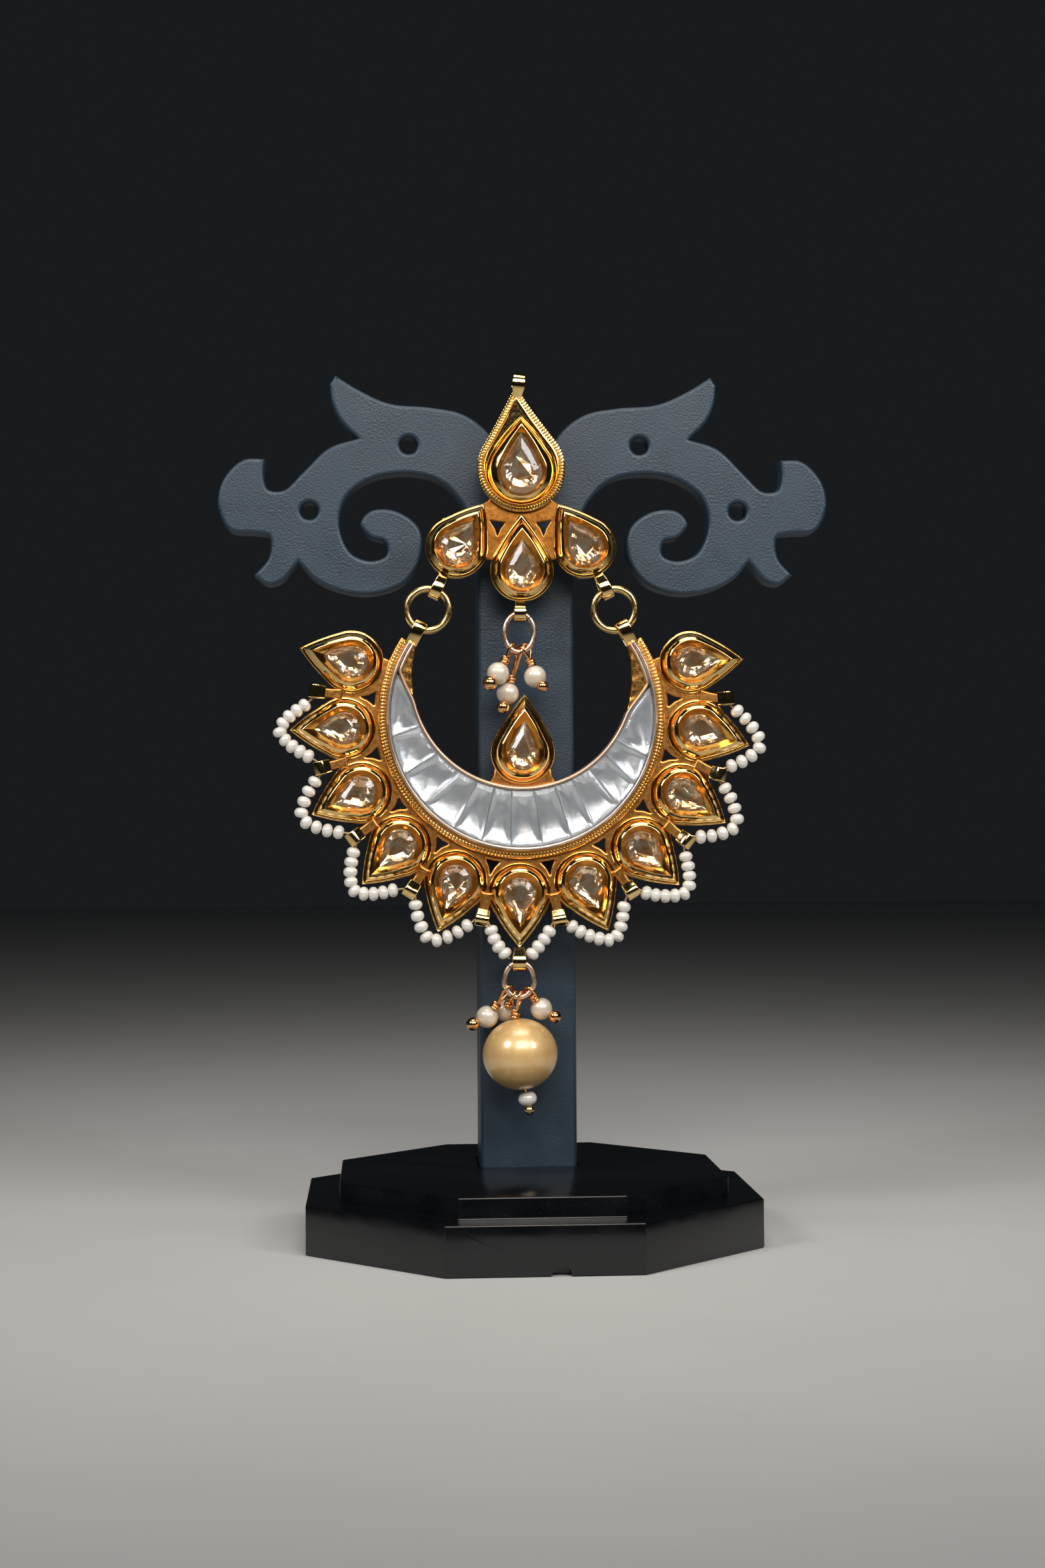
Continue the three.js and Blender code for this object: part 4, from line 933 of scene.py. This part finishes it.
# %% Petals and their web
angles = {}
for node, (centre, along, reach) in petal_places.items():
    tip = centre + along * reach
    angles[node] = [math.degrees(math.atan2(p[0], CRESCENT_Y - p[1])) for p in (centre, tip)]
rounds, tips = (np.array([angles[node][i] for node in PETALS]) for i in (0, 1))
roots = (rounds[1:] + rounds[:-1]) / 2
notches = (roots + (tips[1:] + tips[:-1]) / 2) / 2
WEB_END = 113
outline = np.concatenate([
    around(24.4, np.linspace(-WEB_END, WEB_END, 120)), around(18.7, np.linspace(WEB_END, -WEB_END, 120)),
])


def pierced(root, half=0.95, base=19.75, apex=21.7, sag=0.16):
    """A gap between the ring and two petals: one side along the ring, and one along each petal."""
    spread = math.degrees(half / base)
    left, right, point = around(base, root - spread), around(base, root + spread), around(apex, root)
    centre = around(20.4, root)
    corners = [right, around(base + 0.06, root), left]
    half_up, half_down = left + (point - left) * 0.5, point + (right - point) * 0.5
    corners += [half_up + unit(centre - half_up) * sag, point, half_down + unit(centre - half_down) * sag]
    return rounded(corners, 0.22)


gaps = [pierced(root) for root in roots]
crescent_shapes.append((plate([outline, *gaps], low=0.09, high=0.9, edge=0.26), cast_gold))
for node, place in petal_places.items():
    crescent_shapes += setting(place, "petal")
crescent_shapes += setting(inner_place, "inner")

foot_x = np.linspace(-4.4, 4.5, 13)
foot_bottom = CRESCENT_Y + RISE - np.sqrt(INNER ** 2 - foot_x ** 2) - 0.25
foot_sides = [(3.95, 61.9), (3.8, 62.9), (-3.7, 62.9), (-3.85, 61.9)]
foot = np.concatenate([np.stack([foot_x, foot_bottom], 1), foot_sides])
crescent_shapes.append((plate([foot], low=0.08, high=0.95, edge=0.2), cast_gold))

LUG_AT = 27.75  # the small lugs' distance from the crescent's middle
for root, notch in zip(roots, notches):
    neck = bridge(around(24.1, root), around(27.0, notch), start_half=0.8, end_half=0.62)
    sizes = {"outer": 1.15, "bore": 0.8, "width": 1.8, "root_width": 0.95, "long": 0.95}
    crescent_shapes += [neck, strap(around(26.5, notch), around(LUG_AT, notch), **sizes)]
for s in (-1, 1):
    horn_end = around(OUTER - 1.6, s * (HORN - 3))
    lug = strap(horn_end, (s * 13.78, 81.47), outer=1.35, bore=1.0, width=1.7, root_width=1.0)
    crescent_shapes.append(lug)
lug = strap(around(31.0, -1.05), (-0.6, 36.95), outer=1.25, bore=0.9, width=1.75, root_width=0.75)
crescent_shapes.append(lug)
make("crescent_metal", crescent_shapes, "drop", "crescent_frame")

# %% [markdown]
# ## The channel's stones
#
# Thirteen flat-cut stones lie side by side in the channel. Each is cut to the wedge that the frame gives
# it: a bevel all round, a slightly crowned top, and a dished foil behind. The dish is what makes the
# lower half of each stone bright, because its foil leans up towards the lamp there. It is deepest well
# above the middle, so that this bright part is the larger one.

# %% Channel stones
STONE_RIM = WALL_FACE - 0.56  # the stones' outer edge, just inside the outer wall
# Each level of a stone is (share of its outline, height, unevenness).
EDGE, BEVEL_FOOT, FLAT_TOP = (1.0, 1.5), (1.0, 1.82), (0.8, 2.06, 0.09)
BOWL = [(0.8, 1.32, 0.03), (0.55, 1.17, 0.04), (0.3, 1.1, 0.03)]
BOWL_FLOOR = 1.08
BOWL_LEAN = 0.85  # how far above its middle the bowl is deepest
STONE_FRONT = 1.6  # the height of the stones' fronts in the frame


def stone_edges(node):
    """The angles of a stone's two ends at the outer wall and at the inner lip, from the frame."""
    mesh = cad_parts[node].data
    x, y, z = np.array([v.co for v in mesh.vertices]).T / MM
    front = np.abs(BACK_Y - y - STONE_FRONT) < 0.05
    x, y = x[front] - EARRING_X, z[front] - CRESCENT_Y
    radius, angle = np.hypot(x, y), np.degrees(np.arctan2(x, -y))
    middle = (radius.min() + radius.max()) / 2
    outer, inner = angle[radius > middle], angle[radius <= middle]
    return (outer.min(), outer.max()), (inner.min(), inner.max())


def channel_stone(node, outer, inner, seed):
    """A wedge of glass between two seams, with a broad table, over a shallow bowl of foil."""
    random = np.random.default_rng(seed)
    far = [around(STONE_RIM, a) for a in np.linspace(*outer, 7)]
    near = [around(lip_reach(a) + 0.6, a) for a in np.linspace(*inner, 7)[::-1]]
    outline = np.array(far + near)
    heart = outline.mean(0)
    n = len(outline)

    def level(share, height, drift=0.0):
        p = heart + (outline - heart) * share + random.normal(0, drift, outline.shape)
        return np.column_stack([p, np.full(n, height)])

    table = level(*FLAT_TOP)
    points, faces = skin([level(*EDGE), level(*BEVEL_FOOT)], ends=False)
    crown = faces + [tuple(2 * n + k for k in range(n))]
    for k in range(n):
        after = (k + 1) % n
        crown += [(n + k, n + after, 2 * n + k), (n + after, 2 * n + after, 2 * n + k)]
    crown = (np.vstack([points, table]), crown)
    rings = [level(*row) + [0, BOWL_LEAN * (1 - row[0]), 0] for row in [EDGE, *BOWL]]
    points, faces = skin([ring[::-1] for ring in rings], ends=False)
    last = len(BOWL) * n
    faces += [(last + k, last + (k + 1) % n, last + n) for k in range(n)]
    back = (np.vstack([points, [*(heart + [0, BOWL_LEAN]), BOWL_FLOOR]]), faces)
    shapes = [(crown, clear_glass), (back, silver_foil)]
    make(f"{node}_cut", shapes, "drop", node, crease=0, soft=(silver_foil,))


channel_nodes = [f"channel_stone_{k:02d}" for k in range(1, 14)]
edges = [stone_edges(node) for node in channel_nodes]
SEAM = 0.11  # the gap between two stones, in degrees on each side of its middle
for k, node in enumerate(channel_nodes):
    ends = []
    for wall in (0, 1):
        low, high = edges[k][wall]
        low = (edges[k - 1][wall][1] + low) / 2 + SEAM if k else low
        high = (high + edges[k + 1][wall][0]) / 2 - SEAM if k < len(edges) - 1 else high
        ends.append((low, high))
    channel_stone(node, *ends, k + 1)

# %% [markdown]
# ## Strings of seed beads
#
# Each string leaves the bore of one lug, runs round a petal's tip and goes into the next lug. The beads
# are strung evenly along it. No two seed beads are quite alike, so each gets its own size and a slight
# tilt, from a seeded random number, which gives the same beads on each run.

# %% Bead strings
STRING_END, SHOULDER, NOSE = 29, 30.95, 32.35  # a string's distances from the crescent's middle
STRINGS = {  # petal: (beads, angle of the first bead, of the nose, of the last bead)
    2: (9, -92.9, -86.6, -79.4), 3: (8, -72.5, -65.3, -57.8), 4: (9, -51.2, -44.1, -36.8),
    5: (8, -29.7, -22.6, -15), 7: (9, 13, 22, 27.7), 8: (9, 34.7, 42.8, 49),
    9: (8, 55.6, 62.6, 70.1), 10: (8, 76.3, 82.6, 91),
}
SHORT_STRINGS = {  # side: (lug, direction out of it, route to the bottom lug)
    "left": (5, 1, [(-4.3, 41.25), (-3.65, 39.5), (-2.5, 38.15), (-1.9, 37.4)]),
    "right": (6, -1, [(3.45, 41.05), (2.4, 39.5), (1.15, 38.05), (0.65, 37.4)]),
}
THREAD, BEAD_RADIUS, BEAD_HALF, BEAD_TILT = 0.13, 0.96, 0.7, 0.05
bead_angles = np.linspace(-1.36, 1.36, 13)
BEAD_PROFILE = [(BEAD_RADIUS * math.cos(a) ** 0.75, BEAD_HALF * math.sin(a)) for a in bead_angles]


def out_of_lug(k, towards):
    """The two points by which a thread leaves a lug's bore."""
    notch = notches[k]
    a = math.radians(notch)
    along = np.array([math.cos(a), math.sin(a)]) * towards
    return [around(LUG_AT - 0.1, notch) + along * 0.2, around(LUG_AT + 0.2, notch) + along * 0.85]


def bead_string(name, route, last_at, beads, seed):
    """Thread along a route of points, with beads from its third point to the one that last_at counts."""
    random = np.random.default_rng(seed)
    steps = 24
    flat = smooth_route(route, steps)
    path = np.column_stack([flat, np.full(len(flat), HANG_HEIGHT)])
    run = np.concatenate([[0], np.cumsum(np.linalg.norm(np.diff(path, axis=0), axis=1))])
    places = np.linspace(run[2 * steps], run[last_at * steps], beads)
    at = lambda d: np.array([np.interp(d, run, path[:, i]) for i in range(3)])
    shapes = [(tube(path, THREAD, 8), thread_fibre)]
    for d in places:
        axis = unit(at(d + 0.1) - at(d - 0.1)) + random.normal(0, BEAD_TILT, 3)
        wide, long = random.uniform(0.95, 1.0), random.uniform(0.94, 1.04)
        profile = [(r * wide, h * long) for r, h in BEAD_PROFILE]
        shapes.append((turned(profile, at(d), axis, 20), seed_glass))
    make(f"{name}_strung", shapes, "drop", name)
    print(f"{name}: {beads} beads on {run[-1]:.1f} mm of thread")


for petal, (beads, first, nose, last) in STRINGS.items():
    part_way = lambda start: start + 0.45 * (nose - start)
    route = [
        *out_of_lug(petal - 2, 1),
        around(STRING_END, first), around(SHOULDER, part_way(first)), around(NOSE, nose),
        around(SHOULDER, part_way(last)), around(STRING_END, last),
        *out_of_lug(petal - 1, -1)[::-1],
    ]
    bead_string(f"bead_string_{petal:02d}", route, 6, beads, petal)
for side, (k, towards, route) in SHORT_STRINGS.items():
    bead_string(f"bead_string_06_{side}", [*out_of_lug(k - 1, towards), *map(np.array, route)], 4, 4, k)

# %% [markdown]
# ## Jump rings
#
# A jump ring is a cut piece of drawn wire bent to a ring, so it is never a perfect circle, and its cut
# may stay open a little. Its middle and half sizes come from the frame.

# %% Rings
CUT_OPEN = 0.12
OUT_OF_ROUND = 0.008  # as a share of the ring's size


def ring_shape(node, wire, cut_at=None):
    """A ring's wire and its path in the frame. An open cut lies at an angle from the ring's right side."""
    low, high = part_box(node)
    x, y = (low.x + high.x) / 2 / MM - EARRING_X, (low.z + high.z) / 2 / MM
    half_x, half_y = (high.x - low.x) / 2 / MM - wire, (high.z - low.z) / 2 / MM - wire
    whole = cut_at is None
    opening = 0 if whole else CUT_OPEN / half_x
    a = np.linspace(0, 2 * math.pi - opening, 73) + math.radians(cut_at or 0) + opening / 2
    a = a[:-1] if whole else a
    swell = 1 + OUT_OF_ROUND * np.sin(2 * a + x)
    path = [x + half_x * swell * np.cos(a), y + half_y * swell * np.sin(a), np.full(len(a), HANG_HEIGHT)]
    radius = wire * (0.97 + 0.03 * np.sin(5 * a + y))
    return tube(np.stack(path, 1), radius, 16, closed=whole), (x, y, half_x, half_y)


for node in ("jump_ring_left", "jump_ring_right"):
    shape, _ = ring_shape(node, 0.5)
    make(f"{node}_wire", [(shape, drawn_gold)], "drop", node)
shape, middle_ring = ring_shape("middle_ring", 0.37, cut_at=48)
make("middle_ring_wire", [(shape, rose_gold)], "root", "middle_ring")
shape, lower_ring = ring_shape("lower_ring", 0.38, cut_at=130)
make("lower_ring_wire", [(shape, rose_gold)], "drop", "lower_ring")

# %% [markdown]
# ## Pearls on headpins
#
# A headpin has a ball at its end. It goes through the pearl, makes an eye round the ring, and is wound
# round itself for two or three turns. The wire is one long tube here, bent by the same steps: up from the
# pearl, round the ring, and back down in a coil.

# %% Small charms
PIN_WIRE, EYE, EYE_END = 0.2, 0.8, 2.25  # two radii, and the angle at which the eye ends on each side
COIL_LENGTH = 1.0
SMALL_PEARL = 1.5


def on_ring(ring, degrees):
    """A point of a ring's path, at an angle from straight down."""
    x, y, half_x, half_y = ring
    a = math.radians(degrees)
    return np.array([x + half_x * math.sin(a), y - half_y * math.cos(a), HANG_HEIGHT])


def pin_wire(hook, crown, twist, turns=2.6, wound=0.47):
    """An eye round a ring's wire, closed by a coil that ends on the pearl's crown."""
    down = unit(crown - hook)
    depth = unit(np.array([0, 0, 1]) - down * down[2])
    side = np.cross(down, depth)
    wide = depth * math.cos(twist) + side * math.sin(twist)
    top = crown - down * COIL_LENGTH
    a = np.linspace(-EYE_END, EYE_END, 25)[:, None]
    eye = hook + EYE * (-np.cos(a) * down + np.sin(a) * wide)
    a = np.linspace(0, 2 * math.pi * turns, int(16 * turns))[:, None]
    coil = np.cos(a) * wide + np.sin(a) * np.cross(down, wide)
    coil = top + down * COIL_LENGTH * a / a[-1] + wound * coil
    path = smooth_route([top - wide * 0.12, *eye[::4], top + wide * 0.2, *coil[2::2]], 5)
    return tube(path, PIN_WIRE, 10)


def charm(node, body, ring, hook_angle, pearl_at, ball_at, ball_radius, twist):
    """A pearl on its headpin, from the eye on the ring to the ball below."""
    hook, pearl_at, ball_at = on_ring(ring, hook_angle), np.array(pearl_at), np.array(ball_at)
    down = unit(pearl_at - hook)
    crown = pearl_at - down * (SMALL_PEARL - 0.05)
    out = unit(ball_at - pearl_at)
    shank = tube(smooth_route([crown - down * 0.9, crown, pearl_at], 6), PIN_WIRE, 10)
    stub = tube(np.linspace(pearl_at, ball_at, 4), PIN_WIRE, 10)
    shapes = [pin_wire(hook, crown, twist), shank, stub, ball(ball_radius, ball_at, out)]
    wires = [(shape, copper_gold) for shape in shapes]
    make(f"{node}_wire", wires, body, node)
    small_pearl = ball(SMALL_PEARL, pearl_at, out, 0.97, steps=40)
    make(f"{node}_pearl", [(small_pearl, cream_pearl)], body, node)


UPPER = {  # name: (hook's angle on the ring, pearl, gold ball, its radius, twist of the eye)
    "upper_charm_left": (-30, (-3.2, 75.5, 1.6), (-4.35, 74.1, 3.2), 0.95, 0.5),
    "upper_charm_middle": (0, (-1.85, 72.9, 0.2), (-2.55, 71, 1.5), 0.85, -0.3),
    "upper_charm_right": (30, (1.8, 75.1, 0.9), (2.7, 73.7, 2.5), 0.75, 0.7),
}
LOWER = {
    "lower_charm_left": (-52, (-4.85, 29.6, -0.5), (-6.8, 28.7, 0.4), 0.9, 0.6),
    "lower_charm_behind": (-24, (-2.3, 30.2, -2.4), (-4.1, 28.7, -2.9), 0.8, 0.2),
    "lower_charm_right": (44, (2.4, 30.6, -0.2), (4.15, 29.6, 0.7), 0.85, -0.6),
}
for node, values in UPPER.items():
    charm(node, "root", middle_ring, *values)
for node, values in LOWER.items():
    charm(node, "drop", lower_ring, *values)

# %% [markdown]
# ## The big pearl
#
# The pearl is a little flattened, and its drilled hole leaves a small dimple at each end. It hangs a few
# degrees askew, because the small pearls lean on it. A seed bead and a gold ball close its pin.

# %% Big pearl and its pin
low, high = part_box("big_pearl")
pearl_middle = np.array([(low.x + high.x) / 2 / MM - EARRING_X, (low.z + high.z) / 2 / MM, HANG_HEIGHT])
PEARL_RADIUS, PEARL_HALF, DIMPLE, BORE, TILT = 5.0, 4.75, 0.78, 0.5, math.radians(9)
pearl_axis = np.array([math.sin(TILT), -math.cos(TILT), 0])
dimple_angle = math.asin(DIMPLE / PEARL_RADIUS)
a = np.linspace(dimple_angle, math.pi - dimple_angle, 48)
outside = [(PEARL_RADIUS * math.sin(t), -PEARL_HALF * math.cos(t)) for t in a]
dimple = [(BORE + 0.08, PEARL_HALF - 0.16), (BORE, PEARL_HALF - 0.4)]
profile = outside + dimple + [(r, -h) for r, h in dimple[::-1]]
pearl_shape = turned(profile, pearl_middle, pearl_axis, 72, hollow=True)
make("big_pearl_lacquered", [(pearl_shape, champagne_pearl)], "drop", "big_pearl")

at = lambda distance: pearl_middle + pearl_axis * distance
hook = on_ring(lower_ring, 4)
crown = at(-PEARL_HALF - 0.15)
SEED_TOP, SEED_RADIUS, SEED_HALF = PEARL_HALF + 0.3, 1.25, 0.95
seed_middle, ball_middle = at(SEED_TOP + SEED_HALF), at(SEED_TOP + 2 * SEED_HALF + 0.6)
seed_profile = [(r * SEED_RADIUS / BEAD_RADIUS, h * SEED_HALF / BEAD_HALF) for r, h in BEAD_PROFILE]
big_seed = turned(seed_profile, seed_middle, pearl_axis, 32)
pin_shapes = [
    (pin_wire(hook, crown, 0.35, turns=2.2, wound=0.5), copper_gold),
    (tube(np.linspace(crown - pearl_axis, ball_middle, 8), PIN_WIRE, 10), copper_gold),
    (ball(0.7, ball_middle, pearl_axis), drawn_gold), (big_seed, seed_glass),
]
make("big_pearl_pin_wire", pin_shapes, "drop", "big_pearl_pin")

# %% [markdown]
# ## The moulded tree
#
# The stand's tree is one plastic moulding: a stem, and two scrolled arms in its front layer. Its outline
# is a few smooth runs that meet at sharp corners, drawn for the right half and mirrored.

# %% Tree
ARM_RUNS = [  # each run ends where the next begins, at a sharp corner
    [(0, 104), (3, 106.1), (5.2, 109.2), (8.4, 111.4), (12.9, 112.3), (18.3, 112.8), (22.6, 114.7),
     (25.7, 116.6)],
    [(25.7, 116.6), (26.5, 115.4)],
    [(26.5, 115.4), (26.2, 112.9), (25, 110.3), (22.7, 108)],
    [(22.7, 108), (26.6, 106.7), (30.2, 103.3), (32.8, 100.9), (34.8, 101), (35.4, 102.8), (35.2, 105.2)],
    [(35.2, 105.2), (38.3, 105), (41, 102.2), (41.65, 98.6), (40, 95.4), (36.6, 95), (34.8, 94.6),
     (34.8, 91.8), (36.8, 89.3)],
    [(36.8, 89.3), (35, 88), (33, 88.5), (30.8, 91.1)],
    [(30.8, 91.1), (28.6, 88.7), (25, 87.1), (20.8, 86.7), (16.5, 88.2), (14.1, 91.8), (14.5, 95.9),
     (17.6, 98.1), (21, 98.1), (22.4, 96.3), (21, 94.5), (19.1, 93.9), (18.9, 92.1), (21, 91.3),
     (23.7, 92.4), (25.2, 96.2), (24.3, 99.9), (21.2, 102.3), (16.5, 103.2), (11.9, 102.3), (8.9, 99.5),
     (6.55, 94.5)],
]
ARM_HOLES, POST_HOLE, HOLE_RADIUS = [(15.8, 107.1), (29.3, 98.1)], 100.85, 1.2
STEM_HALF, STEM_FOOT, STEM_TOP, TREE_DEPTH, ARM_DEPTH = 6.55, 3.8, 96, 10, 4
TREE_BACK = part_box("stand_tree")[1].y / MM


def standing(points):
    """Points of the tree's drawing, whose z runs out from its back, as places in the frame."""
    p = np.asarray(points, float)
    return np.stack([p[:, 0], TREE_BACK - p[:, 2], p[:, 1]], 1) * MM


runs = [smooth_route(run, 8)[:-1] for run in ARM_RUNS]
half = np.vstack([*runs, [ARM_RUNS[-1][-1], (STEM_HALF, STEM_FOOT)]])
outline = np.vstack([half, half[:0:-1] * [-1, 1]])[::-1]
hole_places = [(s * x, y) for x, y in ARM_HOLES for s in (-1, 1)] + [(EARRING_X, POST_HOLE)]
round_hole = np.linspace(0, 360, 32, endpoint=False)
holes = [around(HOLE_RADIUS, round_hole, x, y) for x, y in hole_places]
arms = plate([outline, *holes], TREE_DEPTH - ARM_DEPTH, TREE_DEPTH, edge=0.5, soft=4)
stem = [(-STEM_HALF, STEM_FOOT), (STEM_HALF, STEM_FOOT), (STEM_HALF, STEM_TOP), (-STEM_HALF, STEM_TOP)]
back_stem = plate([rounded(stem, 0.6)], 0, TREE_DEPTH - ARM_DEPTH + 0.6, edge=0.4)
tree_shapes = [(arms, slate_plastic), (back_stem, slate_plastic)]
make("tree_moulding", tree_shapes, "root", "stand_tree", place=standing, crease=60)

# %% [markdown]
# ## The base
#
# The base is an eight-sided block in two steps. Its faces are flat and only its edges are soft, so the
# solid is cut first, with a socket for the stem and the half-round mark of the moulding gate, and a bevel
# modifier rounds the edges afterwards. That is the way to keep a bevel even round a cut.

# %% Base
base_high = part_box("stand_base")[1]
LOWER_APOTHEM, UPPER_APOTHEM = base_high.x / MM, 25.4  # from the middle to a side of each step
LOWER_TOP, TOP = 6.3, base_high.z / MM
CORNER = 1 / math.cos(math.pi / 8)  # how much farther a corner lies than the middle of a side


def octagon(apothem, height):
    """An eight-sided outline with a flat side in front."""
    a = math.pi / 8 + np.arange(8) * math.pi / 4
    return np.stack([apothem * CORNER * np.cos(a), apothem * CORNER * np.sin(a), np.full(8, height)], 1)


def as_made(points):
    """Points of the base's drawing, which stands as the frame does, in metres."""
    return np.asarray(points, float) * MM


levels = [(LOWER_APOTHEM, 0), (LOWER_APOTHEM, LOWER_TOP), (UPPER_APOTHEM, LOWER_TOP), (UPPER_APOTHEM, TOP)]
steps = skin([octagon(apothem, height) for apothem, height in levels])
base = make("base_moulding", [(steps, black_plastic)], "root", "stand_base", place=as_made)
SOCKET_X, SOCKET_FRONT, SOCKET_BACK, SOCKET_FLOOR = 6.85, 1.2, 11.8, 3.5
front = [(-SOCKET_X, SOCKET_FRONT, 0), (SOCKET_X, SOCKET_FRONT, 0)]
back = [(SOCKET_X, SOCKET_BACK, 0), (-SOCKET_X, SOCKET_BACK, 0)]
socket = skin([np.array(front + back) + [0, 0, h] for h in (SOCKET_FLOOR, TOP + 2)])
GATE_X, GATE_RADIUS, GATE_DEPTH = 2, 1.2, 1.5
gate_profile = [(GATE_RADIUS, -GATE_DEPTH), (GATE_RADIUS, GATE_DEPTH)]
gate = turned(gate_profile, (GATE_X, -LOWER_APOTHEM, 0), (0, 1, 0), 24)


def cut_and_soften(piece, cutters, width):
    """Cuts the shapes out of the piece and rounds its edges, and keeps the result as its mesh."""
    tools = []
    for k, (points, faces) in enumerate(cutters):
        mesh = bpy.data.meshes.new("cutter")
        mesh.from_pydata(as_made(points).tolist(), [], faces)
        tools.append(bpy.data.objects.new("cutter", mesh))
        bpy.context.scene.collection.objects.link(tools[-1])
        modifier = piece.modifiers.new(f"cut_{k}", "BOOLEAN")
        modifier.operation, modifier.object, modifier.solver = "DIFFERENCE", tools[-1], "EXACT"
    bevel = piece.modifiers.new("bevel", "BEVEL")
    bevel.width, bevel.segments = width * MM, 3
    bevel.limit_method, bevel.angle_limit = "ANGLE", math.radians(30)
    bevel.harden_normals = False
    mesh = bpy.data.meshes.new_from_object(piece.evaluated_get(bpy.context.evaluated_depsgraph_get()))
    piece.modifiers.clear()
    piece.data = mesh
    mesh.polygons.foreach_set("use_smooth", [True] * len(mesh.polygons))
    mesh.set_sharp_from_angle(angle=math.radians(32))
    for tool in tools:
        bpy.data.objects.remove(tool)
    print(f"{piece.name}: {len(mesh.polygons)} faces after cutting")


cut_and_soften(base, [socket, gate], 0.35)
